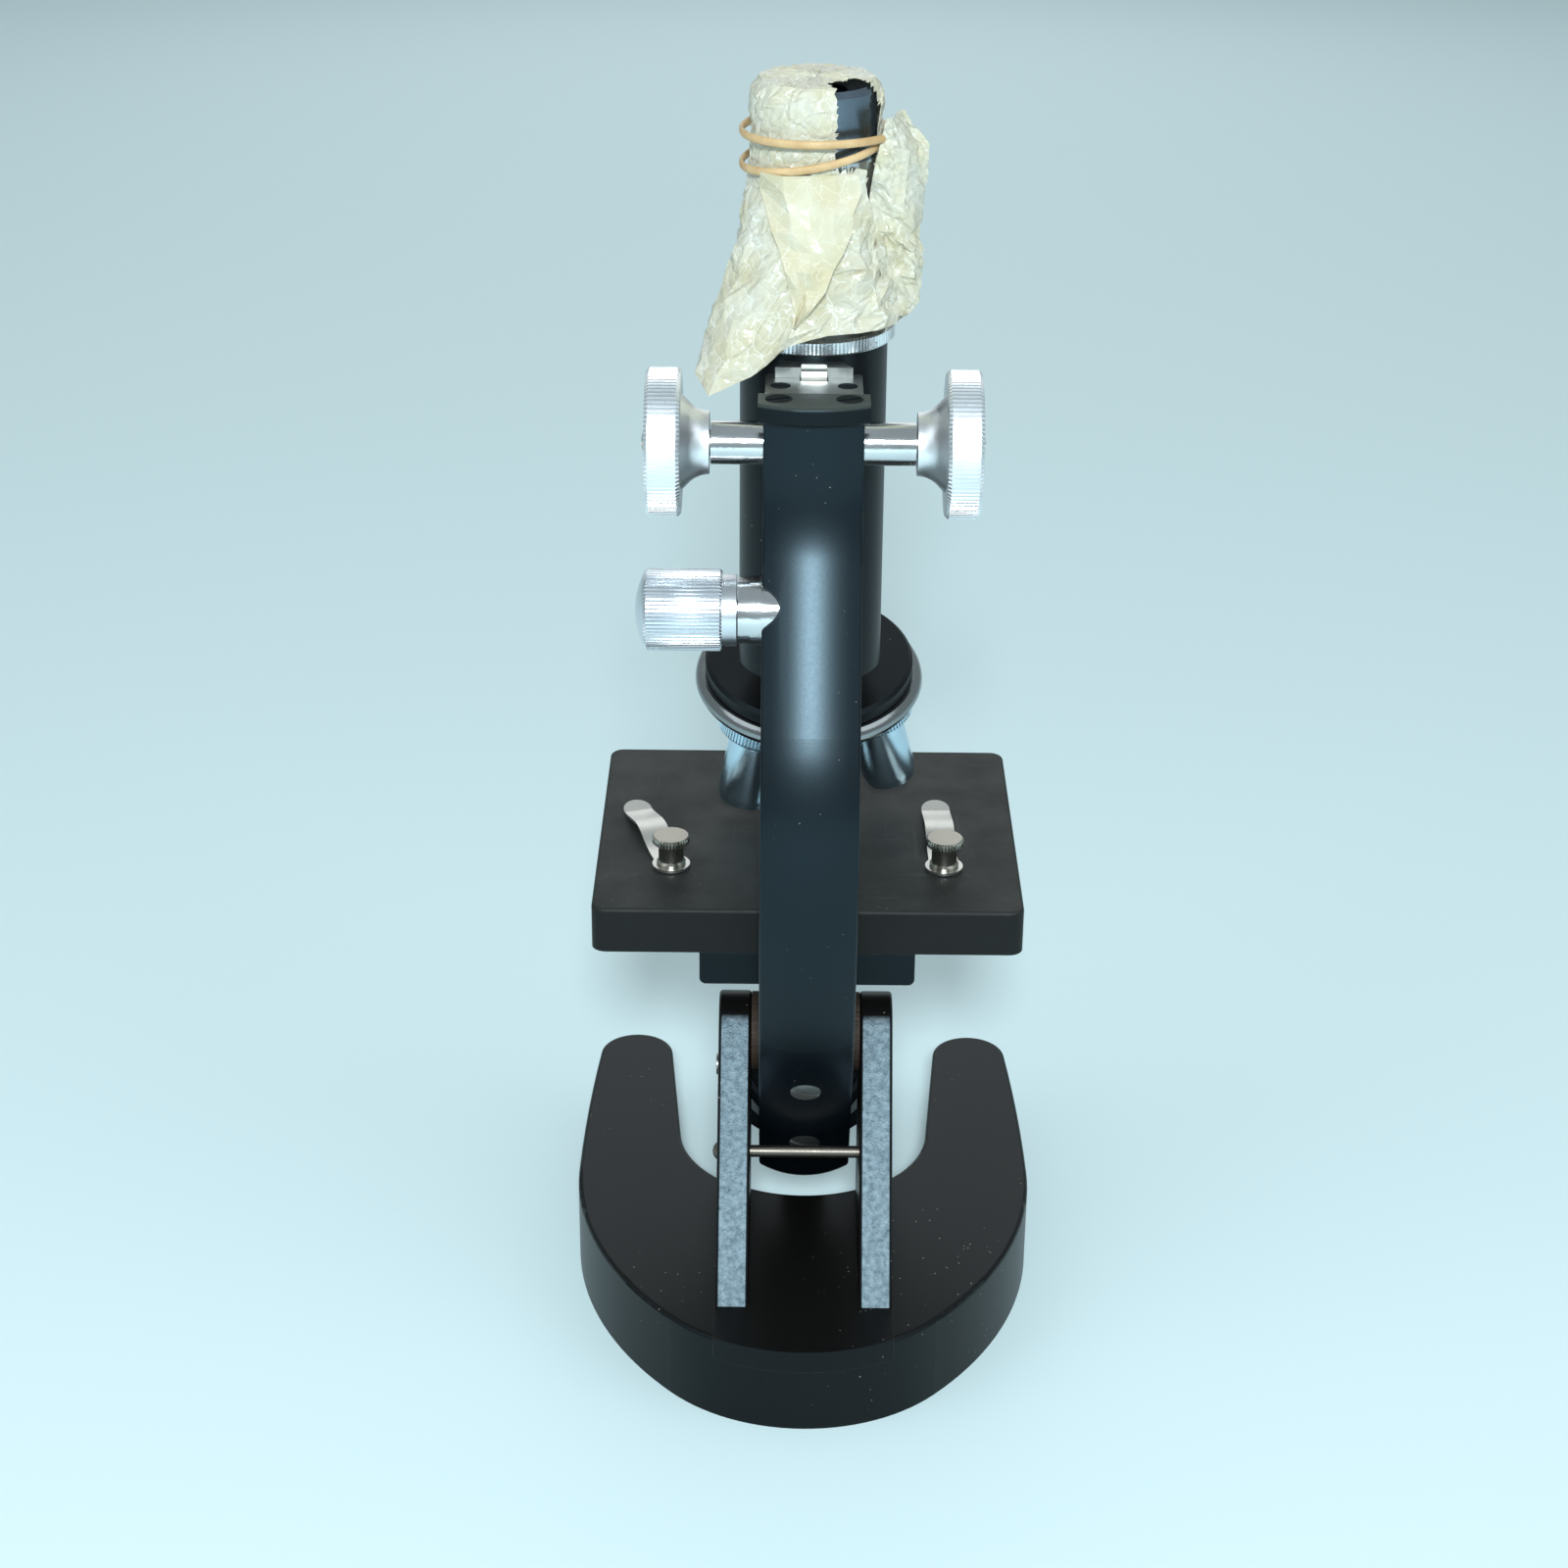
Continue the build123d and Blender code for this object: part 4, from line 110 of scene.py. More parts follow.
def add_node(finish, kind, inputs=None, **settings):
    """A node with its settings, and its inputs set or joined to another node's output."""
    made = finish.node_tree.nodes.new(kind)
    for key, value in settings.items():
        setattr(made, key, value)
    for key, value in (inputs or {}).items():
        if isinstance(value, bpy.types.NodeSocket):
            finish.node_tree.links.new(value, made.inputs[key])
        else:
            made.inputs[key].default_value = value
    return made


def join(finish, output, target):
    """Join one node's output to another node's input."""
    finish.node_tree.links.new(output, target)


def place_of(finish, stretch=(1, 1, 1)):
    """Object coordinates, stretched where a pattern runs along one axis."""
    coordinates = add_node(finish, "ShaderNodeTexCoord")
    inputs = {"Vector": coordinates.outputs["Object"], "Scale": stretch}
    return add_node(finish, "ShaderNodeMapping", inputs).outputs["Vector"]


def times(finish, first, second):
    """Product of two values, each a number or another node's output."""
    product = add_node(finish, "ShaderNodeMath", {0: first, 1: second}, operation="MULTIPLY")
    return product.outputs["Value"]


def mottle(finish, where, per_metre, low, high, detail=4.0, span=(0.3, 0.7)):
    """Noise of a given fineness, mapped to a range of values."""
    cloud = add_node(finish, "ShaderNodeTexNoise", {"Vector": where, "Scale": per_metre, "Detail": detail})
    spread = add_node(finish, "ShaderNodeMapRange", {
        "Value": cloud.outputs["Fac"],
        "From Min": span[0],
        "From Max": span[1],
        "To Min": low,
        "To Max": high,
    })
    return spread.outputs["Result"]


def blend_colours(finish, share, first, second):
    """Mix two colours, each a triple or another node's output."""
    mixer = add_node(finish, "ShaderNodeMix", data_type="RGBA")
    join(finish, share, mixer.inputs["Factor"])
    for socket, colour in (("A", first), ("B", second)):
        target = next(item for item in mixer.inputs if item.name == socket and item.type == "RGBA")
        if isinstance(colour, bpy.types.NodeSocket):
            join(finish, colour, target)
        else:
            target.default_value = (*colour, 1)
    return next(item for item in mixer.outputs if item.type == "RGBA")


def wander(finish, where, per_metre, colour, darkest, lightest, detail=4.0):
    """A colour that wanders between a darker and a lighter shade of itself."""
    shades = [tuple(channel * factor for channel in colour) for factor in (darkest, lightest)]
    return blend_colours(finish, mottle(finish, where, per_metre, 0, 1, detail), *shades)


def specks(finish, where, per_metre, size):
    """Sparse round specks: 1 inside a speck and 0 elsewhere."""
    cells = add_node(finish, "ShaderNodeTexVoronoi", {"Vector": where, "Scale": per_metre})
    small = add_node(finish, "ShaderNodeMath", {0: cells.outputs["Distance"], 1: size}, operation="LESS_THAN")
    patches = mottle(finish, where, per_metre / 14, 0, 1, 2.0, (0.5, 0.62))
    return times(finish, small.outputs["Value"], patches)


def worn_edges(finish, width):
    """1 on edges that hands rub and 0 on open faces, found by rounding the normal."""
    rounded = add_node(finish, "ShaderNodeBevel", {"Radius": width}, samples=6)
    flat = add_node(finish, "ShaderNodeNewGeometry")
    turn = add_node(finish, "ShaderNodeVectorMath", operation="DOT_PRODUCT")
    join(finish, rounded.outputs["Normal"], turn.inputs[0])
    join(finish, flat.outputs["Normal"], turn.inputs[1])
    mask = add_node(finish, "ShaderNodeMapRange", {
        "Value": turn.outputs["Value"],
        "From Min": 0.97,
        "From Max": 0.82,
    })
    return mask.outputs["Result"]


def upward(finish):
    """1 on faces that look up and 0 on sides, from the object's own normal."""
    facing = add_node(finish, "ShaderNodeTexCoord")
    parts = add_node(finish, "ShaderNodeSeparateXYZ", {"Vector": facing.outputs["Normal"]})
    return parts.outputs["Z"]


def raise_surface(finish, shader, height, depth):
    """Feed a height into the shader's normal."""
    bump = add_node(finish, "ShaderNodeBump", {"Height": height, "Distance": depth, "Strength": 1.0})
    join(finish, bump.outputs["Normal"], shader.inputs["Normal"])
    return bump


def flatten_crown(finish, bump, share):
    """Shade a crowned face as a flatter one, by drawing its normals in along the object's X axis."""
    facing = add_node(finish, "ShaderNodeTexCoord")
    inputs = {0: facing.outputs["Normal"], 1: (share, 1, 1)}
    drawn = add_node(finish, "ShaderNodeVectorMath", inputs, operation="MULTIPLY")
    even = add_node(finish, "ShaderNodeVectorMath", {0: drawn.outputs["Vector"]}, operation="NORMALIZE")
    inputs = {"Vector": even.outputs["Vector"]}
    settings = {"vector_type": "NORMAL", "convert_from": "OBJECT", "convert_to": "WORLD"}
    turned = add_node(finish, "ShaderNodeVectorTransform", inputs, **settings)
    join(finish, turned.outputs["Vector"], bump.inputs["Normal"])


# %% [markdown]
# ## Black paint
#
# The stand wears satin enamel: nearly black, a little blue on the arm and a little brown on the base. A
# flat black would look like a hole. What makes paint read as paint is its gloss, which wanders a little,
# and the dust and thin edges that break it, so each of these gets its own small pattern.


# %% Black paint
SHEEN_TINT = (0.62, 0.86, 1.0)
DUST = (0.32, 0.29, 0.25)
DUST_PER_METRE = 460
BARE_EDGE = (0.06, 0.06, 0.062)
EDGE_WIDTH = 0.0006


def enamel(name, colour, roughness, dust=0.05, wear=0.35, gloss=0.3, crown=1.0, side=None):
    """Satin paint with dust and rubbed edges. A crown below 1 shades a crowned face flatter. A side colour
    paints faces that don't look up darker, as shade.
    """
    finish, shader = new_finish(name, colour, roughness)
    shader.inputs["Specular IOR Level"].default_value = gloss
    shader.inputs["Specular Tint"].default_value = (*SHEEN_TINT, 1)
    where = place_of(finish)
    tone = wander(finish, where, 35, colour, 0.8, 1.25)
    rubbed = times(finish, worn_edges(finish, EDGE_WIDTH), wear)
    broken = times(finish, rubbed, mottle(finish, where, 900, 0, 1))
    tone = blend_colours(finish, broken, tone, BARE_EDGE)
    tone = blend_colours(finish, specks(finish, where, DUST_PER_METRE, dust), tone, DUST)
    # Faces that don't look up take the side colour, painted darker as shade.
    if side:
        tone = blend_colours(finish, upward(finish), side, tone)
    join(finish, tone, shader.inputs["Base Color"])
    join(finish, mottle(finish, where, 1500, roughness - 0.008, roughness + 0.01), shader.inputs["Roughness"])
    bump = raise_surface(finish, shader, mottle(finish, where, 1700, 0, 1), 0.000002)
    if crown < 1:
        flatten_crown(finish, bump, crown)
    return finish


BASE_COLOUR = (0.0045, 0.004, 0.0036)
# The cap's top colour is a greyer black, lifted partly as painted reflection of the back lamp; its sides are
# painted darker as shade.
CAP_SIDE_SHADE = (0.0025, 0.0028, 0.003)
arm_enamel = enamel("arm_enamel", (0.002, 0.0032, 0.0048), 0.33, gloss=0.36, crown=0.55)
bracket_enamel = enamel("bracket_enamel", (0.0022, 0.0028, 0.0034), 0.36, dust=0.08, gloss=0.24)
cap_enamel = enamel("cap_enamel", (0.055, 0.064, 0.057), 0.4, dust=0.08, gloss=0.24, side=CAP_SIDE_SHADE)
base_enamel = enamel("base_enamel", BASE_COLOUR, 0.36, dust=0.07, gloss=0.2)
tube_enamel = enamel("tube_enamel", (0.0035, 0.0038, 0.0042), 0.36, wear=0.2, gloss=0.22)
# Near-black matte that paints the deep-set screws as the shade of their holes.
shade_black = enamel("shade_black", (0.0015, 0.0015, 0.0015), 0.7, dust=0.0, wear=0.0)

# %% [markdown]
# The pillar is a casting. Its sloping rear faces were only ground, so they stay coarse, while its sides
# are smooth. The slopes face the flash, and their pale colour is a painted highlight of it. The object's
# own normal tells the slopes from the sides.


# %% Cast slopes of the pillar
SLOPE_NORMAL = (0, -0.82, 0.57)
# The slopes' pale colours are a painted highlight of the flash they face.
SLOPE_HIGHLIGHT_DARK = (0.045, 0.062, 0.076)
SLOPE_HIGHLIGHT_PALE = (0.19, 0.235, 0.265)


def cast_paint():
    """Smooth black sides, and coarse faces painted pale as a highlight where the normal is that of the
    slopes.
    """
    finish, shader = new_finish("cast_paint", BASE_COLOUR, 0.36)
    shader.inputs["Specular Tint"].default_value = (*SHEEN_TINT, 1)
    where = place_of(finish)
    facing = add_node(finish, "ShaderNodeTexCoord")
    slope = add_node(finish, "ShaderNodeVectorMath", {1: SLOPE_NORMAL}, operation="DOT_PRODUCT")
    join(finish, facing.outputs["Normal"], slope.inputs[0])
    coarse = add_node(finish, "ShaderNodeMapRange", {
        "Value": slope.outputs["Value"],
        "From Min": 0.95,
        "From Max": 0.985,
    }).outputs["Result"]
    grain = mottle(finish, where, 2400, 0, 1, 5.0)
    cloud = mottle(finish, where, 800, 0, 1, 6.0)
    # The mottled pale colour on the slopes is a painted highlight.
    pale = blend_colours(finish, cloud, SLOPE_HIGHLIGHT_DARK, SLOPE_HIGHLIGHT_PALE)
    tone = blend_colours(finish, coarse, BASE_COLOUR, pale)
    tone = blend_colours(finish, specks(finish, where, DUST_PER_METRE, 0.07), tone, DUST)
    join(finish, tone, shader.inputs["Base Color"])
    gloss = add_node(finish, "ShaderNodeMapRange", {"Value": coarse, "To Min": 0.2, "To Max": 0.55})
    join(finish, gloss.outputs["Result"], shader.inputs["Specular IOR Level"])
    raise_surface(finish, shader, times(finish, grain, coarse), 0.00006)
    return finish


pillar_paint = cast_paint()

# %% [markdown]
# The stage is matte black. Slides have been pushed over its top for years and left faint scuffs. Its top is
# charcoal, and its sides are painted darker as shade.


# %% Stage paint
STAGE_TOP = (0.02, 0.0215, 0.02)
# The sides' darker colour is painted shade.
STAGE_SIDE_SHADE = (0.0045, 0.005, 0.005)
STAGE_SCUFF = (0.05, 0.052, 0.052)
STAGE_DUST = (0.2, 0.19, 0.17)


def scuffed_paint():
    """Charcoal on top with two families of scratches, and sides painted darker as shade."""
    finish, shader = new_finish("stage_paint", STAGE_TOP, 0.55)
    shader.inputs["Specular IOR Level"].default_value = 0.25
    where = place_of(finish)
    tone = wander(finish, where, 45, STAGE_TOP, 0.8, 1.3, 5.0)
    for turn, stretch in ((0.6, (1, 0.05, 1)), (2.0, (0.06, 1, 1))):
        inputs = {"Vector": where, "Rotation": (0, 0, turn), "Scale": stretch}
        along = add_node(finish, "ShaderNodeMapping", inputs).outputs["Vector"]
        scratch = mottle(finish, along, 700, 0, 0.3, 2.0, (0.68, 0.74))
        tone = blend_colours(finish, scratch, tone, STAGE_SCUFF)
    tone = blend_colours(finish, specks(finish, where, DUST_PER_METRE, 0.05), tone, STAGE_DUST)
    # Faces that don't look up are painted darker, as shade.
    tone = blend_colours(finish, upward(finish), STAGE_SIDE_SHADE, tone)
    join(finish, tone, shader.inputs["Base Color"])
    join(finish, mottle(finish, where, 120, 0.5, 0.62), shader.inputs["Roughness"])
    raise_surface(finish, shader, mottle(finish, where, 2200, 0, 1, 5.0), 0.00002)
    return finish


stage_paint = scuffed_paint()

# %% [markdown]
# ## Plated and plain metal
#
# Chrome shows its surroundings, so its look comes from the light. Handling still leaves soft smudges in
# the gloss and a few dark spots. Nickel is warmer and duller, and plain steel is greyer. The barrels of the
# objectives and the eyepiece are blued.


# %% Metals
METAL_SPOT = (0.13, 0.11, 0.09)


def plated(name, colour, roughness, spots=0.05, smudge=0.08, marks=0.00001):
    """Metal with wandering gloss, a few dark spots and fine marks of the given depth in metres."""
    finish, shader = new_finish(name, colour, roughness, metallic=1.0)
    where = place_of(finish)
    tone = wander(finish, where, 140, colour, 0.9, 1)
    tone = blend_colours(finish, specks(finish, where, 520, spots), tone, METAL_SPOT)
    join(finish, tone, shader.inputs["Base Color"])
    join(finish, mottle(finish, where, 210, roughness, roughness + smudge), shader.inputs["Roughness"])
    raise_surface(finish, shader, mottle(finish, where, 3000, 0, 1, 2.0), marks)
    return finish


chrome = plated("chrome", (0.72, 0.74, 0.76), 0.09)
knob_chrome = plated("knob_chrome", (0.93, 0.95, 0.98), 0.36, smudge=0.03)
drum_chrome = plated("drum_chrome", (0.78, 0.81, 0.86), 0.27, smudge=0.02)
nickel = plated("nickel", (0.7, 0.69, 0.65), 0.26)
screw_nickel = plated("screw_nickel", (0.4, 0.38, 0.33), 0.24, smudge=0.03)
satin_nickel = plated("satin_nickel", (0.3, 0.31, 0.3), 0.36, smudge=0.1)
steel = plated("steel", (0.36, 0.35, 0.34), 0.34, smudge=0.12)
pin_steel = plated("pin_steel", (0.16, 0.14, 0.12), 0.36)
dark_chrome = plated("dark_chrome", (0.32, 0.34, 0.35), 0.07)
gunmetal = plated("gunmetal", (0.58, 0.76, 0.88), 0.2, smudge=0.03)
blued_steel = plated("blued_steel", (0.2, 0.25, 0.31), 0.24)

# %% [markdown]
# ## Glass, mirror and fibre
#
# The lenses are clear glass with a faint blue coating. The mirror is silvered, so it is a metal with very
# low roughness. The friction washers between the arm and the pillar are brown fibre, like thick card.


# %% Glass, mirror and fibre
lens_glass, lens_shader = new_finish("lens_glass", (0.92, 0.96, 1.0), 0.02)
lens_shader.inputs["Transmission Weight"].default_value = 1.0
lens_shader.inputs["IOR"].default_value = 1.52

mirror_silver = plated("mirror_silver", (0.9, 0.9, 0.91), 0.02, spots=0.03, smudge=0.03, marks=0.0)


def fibre_card():
    """Brown card whose fibres run along the X axis."""
    colour = (0.035, 0.02, 0.012)
    finish, shader = new_finish("fibre_card", colour, 0.75)
    where = place_of(finish, (0.2, 1, 1))
    tone = wander(finish, where, 900, colour, 0.5, 1.5, 6.0)
    join(finish, tone, shader.inputs["Base Color"])
    raise_surface(finish, shader, mottle(finish, where, 1800, 0, 1), 0.0001)
    return finish


fibre = fibre_card()

# %% [markdown]
# ## Dress the frame
#
# Most pieces of the frame already have the right shape, so they only need their finish.

# %% Dress the frame
FINISH_OF = {
    arm_enamel: ("arm",),
    bracket_enamel: ("stage_bracket", "mirror_tailpiece", "mirror_fork"),
    cap_enamel: ("arm_cap",),
    base_enamel: ("horseshoe_base",),
    pillar_paint: ("pillar",),
    stage_paint: ("stage_plate",),
    tube_enamel: ("body_tube", "nosepiece_plate", "field_stop", "mirror_cell"),
    blued_steel: ("eyepiece_body",),
    chrome: ("draw_tube", "pinion_sleeve_left", "pinion_sleeve_right", "fine_bush"),
    nickel: ("focus_rack", "stage_clip_left", "stage_clip_right", "coarse_knob_screws"),
    satin_nickel: ("bearing_block", "tube_slide"),
    pin_steel: ("stop_pin",),
    dark_chrome: ("turret_shell",),
    # These screws are painted as the shade of their holes.
    shade_black: ("block_screws", "arm_cap_screws"),
    steel: (
        "pillar_screws",
        "pivot_pin",
        "arm_foot_screws",
        "bracket_screws",
        "stage_screws",
        "tail_screw",
        "fork_nut",
        "mirror_pins",
        "fine_lift_pin",
        "pinion_shaft",
        "nosepiece_screw",
        "fine_spindle",
        "fine_cam",
    ),
    fibre: ("friction_washers",),
    lens_glass: ("eye_lens", "field_lens", "objective_lenses"),
    mirror_silver: ("mirror_flat_glass", "mirror_concave_glass"),
}
for finish, names in FINISH_OF.items():
    for name in names:
        nodes[name].data.materials.clear()
        nodes[name].data.materials.append(finish)
print("dressed", sum(len(names) for names in FINISH_OF.values()), "nodes")

# %% [markdown]
# ## Turned pieces with milled edges
#
# Knobs, thumb-screws and rings are turned on a lathe and then milled so that fingers grip them. The
# lathe is Blender's spin operator: an outline of radius and height goes once round. For the milling,
# every fourth column of points on the rim is drawn in. That cuts real grooves with flat lands between
# them, rather than a bump.


# %% The lathe
GROOVE_COLUMNS = 4
RIM_SLACK = 0.02      # how near its radius a point of a rim has to be, millimetres


def spin_round(mesh, points, edges, steps):
    """Carry a line once round the Z axis and close the seam."""
    bmesh.ops.spin(
        mesh,
        geom=points + edges,
        cent=(0, 0, 0),
        axis=(0, 0, 1),
        angle=2 * pi,
        steps=steps,
        use_merge=True,
    )
    bmesh.ops.remove_doubles(mesh, verts=mesh.verts, dist=MERGE)


def turn_outline(outline, grooves):
    """Spin an outline of (radius, height) millimetres, with four columns of points for each groove."""
    mesh = bmesh.new()
    corners = [mesh.verts.new((radius * MM, 0, height * MM)) for radius, height in outline]
    rims = [mesh.edges.new(pair) for pair in zip(corners, corners[1:] + corners[:1])]
    spin_round(mesh, corners, rims, GROOVE_COLUMNS * grooves)
    bmesh.ops.recalc_face_normals(mesh, faces=mesh.faces)
    return mesh


def mill(mesh, grooves, radius, depth):
    """Draw in one column of points for each groove of the rim that has this radius."""
    step = 2 * pi / (GROOVE_COLUMNS * grooves)
    for point in mesh.verts:
        column = round(atan2(point.co.y, point.co.x) / step) % GROOVE_COLUMNS
        on_rim = hypot(point.co.x, point.co.y) > (radius - RIM_SLACK) * MM
        if column == 0 and on_rim:
            point.co.xy *= 1 - depth / radius


def arc(centre, radius, start, end, count):
    """Points of an arc in an outline, with its angles in degrees."""
    turns = [radians(start + (end - start) * step / count) for step in range(count + 1)]
    return [(centre[0] + radius * cos(turn), centre[1] + radius * sin(turn)) for turn in turns]


def as_piece(mesh, name, place, finish, body, replaced=(), crease=32):
    """Put a mesh in its place, give it its finish and let it ride on its body."""
    bmesh.ops.transform(mesh, matrix=place, verts=mesh.verts)
    data = bpy.data.meshes.new(name)
    mesh.to_mesh(data)
    mesh.free()
    data.polygons.foreach_set("use_smooth", [True] * len(data.polygons))
    data.set_sharp_from_angle(angle=radians(crease))
    data.materials.append(finish)
    piece = bpy.data.objects.new(name, data)
    show(piece)
    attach(piece, body)
    if replaced:
        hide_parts(*replaced)
    print(name, len(data.polygons), "faces")
    return piece


def pointing(point, direction):
    """Matrix that stands a turned mesh on a point, in metres, with its Z axis along a direction."""
    return Matrix.Translation(point) @ Vector(direction).to_track_quat("Z", "Y").to_matrix().to_4x4()


# %% [markdown]
# The coarse knobs are slim at the hub, flare in a hollow curve and end in a broad rim with about a
# hundred grooves. Their size comes from the frame's own knobs.

# %% Coarse knobs
KNOB_GROOVES = 100
KNOB_GROOVE = 0.42    # depth of a groove
KNOB_HUB_R = 6.3
KNOB_NECK_R = 9.65
KNOB_EDGE = 0.7
KNOB_BORE_R = 2.62
KNOB_FLARE = 5.6      # length of the hub and flare
KNOB_FLARE_END = 132  # where on its circle the flare's arc ends, degrees
KNOB_LIP = 2.2        # plain lip round the end
KNOB_DISH_IN = 2.6    # where the dished end begins
KNOB_DISH = 0.5       # depth of the dish
KNOB_SCREW_R = 1.52
KNOB_SCREW = 2.6      # depth of the screw's hole
pinion = Vector(joints["coarse_knob_turn"]["pos_m"])
for side, label in ((-1, "left"), (1, "right")):
    low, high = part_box("coarse_knob_" + label)
    length = (high.x - low.x) / MM
    rim_r = (high.z - low.z) / 2 / MM
    flare = arc((KNOB_HUB_R + KNOB_FLARE, 0), KNOB_FLARE, 180, KNOB_FLARE_END, 10)
    outline = [(KNOB_BORE_R, 0), *flare, (KNOB_NECK_R, KNOB_FLARE), (rim_r - KNOB_EDGE, KNOB_FLARE)]
    outline += [(rim_r, KNOB_FLARE + KNOB_EDGE), (rim_r, length - KNOB_EDGE), (rim_r - KNOB_EDGE, length)]
    dish = length - KNOB_DISH
    seat = length - KNOB_SCREW
    outline += [(rim_r - KNOB_LIP, length), (rim_r - KNOB_DISH_IN, dish), (KNOB_SCREW_R, dish)]
    outline += [(KNOB_SCREW_R, seat), (KNOB_BORE_R, seat)]
    mesh = turn_outline(outline, KNOB_GROOVES)
    mill(mesh, KNOB_GROOVES, rim_r, KNOB_GROOVE)
    hub = Vector((low.x if side > 0 else high.x, pinion.y, pinion.z))
    as_piece(
        mesh,
        "milled_knob_" + label,
        pointing(hub, (side, 0, 0)),
        knob_chrome,
        "coarse_drive",
        ["coarse_knob_" + label],
    )

# %% [markdown]
# The fine knob is a longer drum with a plain collar at its root and a polished dome at its end.

# %% Fine knob
FINE_GROOVES = 64
FINE_GROOVE = 0.36
FINE_EDGE = 0.4
FINE_END_EDGE = 0.5
FINE_COLLAR_R = 7.15
FINE_COLLAR = 2.9
FINE_BORE_R = 2.22
FINE_DOME = 1.9
FINE_BORE_SHARE = 0.7 # how far the bore goes in
fine_axis = Vector(joints["fine_knob_turn"]["pos_m"])
low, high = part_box("fine_knob")
length = (high.x - low.x) / MM
drum_r = (high.z - low.z) / 2 / MM
drum_end = length - FINE_DOME
dome_r = drum_r - FINE_END_EDGE
ball = (dome_r**2 + FINE_DOME**2) / (2 * FINE_DOME)
lean = degrees(atan2(dome_r, ball - FINE_DOME))
dome = arc((0, length - ball), ball, 90 - lean, 90, 10)
bore_end = length * FINE_BORE_SHARE
outline = [(FINE_BORE_R, 0), (FINE_COLLAR_R, 0), (FINE_COLLAR_R, FINE_COLLAR)]
outline += [(drum_r - FINE_EDGE, FINE_COLLAR), (drum_r, FINE_COLLAR + FINE_EDGE)]
outline += [(drum_r, drum_end - FINE_END_EDGE), *dome[:-1], (0, length)]
outline += [(0, bore_end), (FINE_BORE_R, bore_end)]
mesh = turn_outline(outline, FINE_GROOVES)
mill(mesh, FINE_GROOVES, drum_r, FINE_GROOVE)
as_piece(
    mesh,
    "milled_fine_knob",
    pointing(Vector((high.x, fine_axis.y, fine_axis.z)), (-1, 0, 0)),
    drum_chrome,
    "fine_drive",
    ["fine_knob"],
)

# %% [markdown]
# The ring at the top of the body tube is milled too. It guides the draw tube, so its bore and spigot
# keep the frame's size.

# %% Tube ring
RING_GROOVES = 130
RING_GROOVE = 0.25
RING_FOOT_EDGE = 0.4
RING_TOP_EDGE = 0.5
RING_BORE_R = 12.05
SPIGOT_R = 12.98
RING_HEIGHT = 3.2
optical = Vector((0, (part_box("body_tube")[0].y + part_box("body_tube")[1].y) / 2, 0))
low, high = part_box("tube_ring")
ring_r = (high.x - low.x) / 2 / MM
height = (high.z - low.z) / MM
foot = height - RING_HEIGHT
outline = [(RING_BORE_R, 0), (SPIGOT_R, 0), (SPIGOT_R, foot), (ring_r - RING_FOOT_EDGE, foot)]
outline += [(ring_r, foot + RING_FOOT_EDGE), (ring_r, height - RING_TOP_EDGE)]
outline += [(ring_r - RING_TOP_EDGE, height), (RING_BORE_R, height)]
mesh = turn_outline(outline, RING_GROOVES)
mill(mesh, RING_GROOVES, ring_r, RING_GROOVE)
as_piece(
    mesh,
    "milled_tube_ring",
    Matrix.Translation((0, optical.y, low.z)),
    chrome,
    "tube",
    ["tube_ring"],
)

# %% [markdown]
# Each stage clip is held by a thumb-screw: a milled head on a waisted neck.

# %% Thumb-screws
HEAD_GROOVES = 36
HEAD_GROOVE = 0.28
HEAD_TALL = 1.8
HEAD_EDGE = 0.3
SHANK_R = 1.8
FLANGE_R = 3.1
NECK_R = 2.7
NECK_TOP_R = 3.0
NECK_RUN = 6.55       # from the flange's foot to the top of the head
for label in ("left", "right"):
    low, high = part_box("clip_screw_" + label)
    head_r = (high.x - low.x) / 2 / MM
    top = (high.z - low.z) / MM
    head = top - HEAD_TALL
    neck = top - NECK_RUN
    outline = [(0, 0), (SHANK_R, 0), (SHANK_R, neck), (FLANGE_R, neck), (FLANGE_R, neck + 0.5)]
    outline += [(NECK_R, neck + 0.9), (NECK_R, head - 0.6), (NECK_TOP_R, head), (head_r - HEAD_EDGE, head)]
    outline += [(head_r, head + HEAD_EDGE), (head_r, top - HEAD_EDGE), (head_r - HEAD_EDGE, top), (0, top)]
    mesh = turn_outline(outline, HEAD_GROOVES)
    mill(mesh, HEAD_GROOVES, head_r, HEAD_GROOVE)
    middle = (low + high) / 2
    as_piece(
        mesh,
        "thumb_screw_" + label,
        Matrix.Translation((middle.x, middle.y, low.z)),
        screw_nickel,
        "thumb_screw_" + label,
        ["clip_screw_" + label],
    )

# %% [markdown]
# The objectives stand square on the turret's cone. Each has a milled ring, a short waist and a plain
# blued barrel. The turret's joint gives the tilted axis they are spaced round.

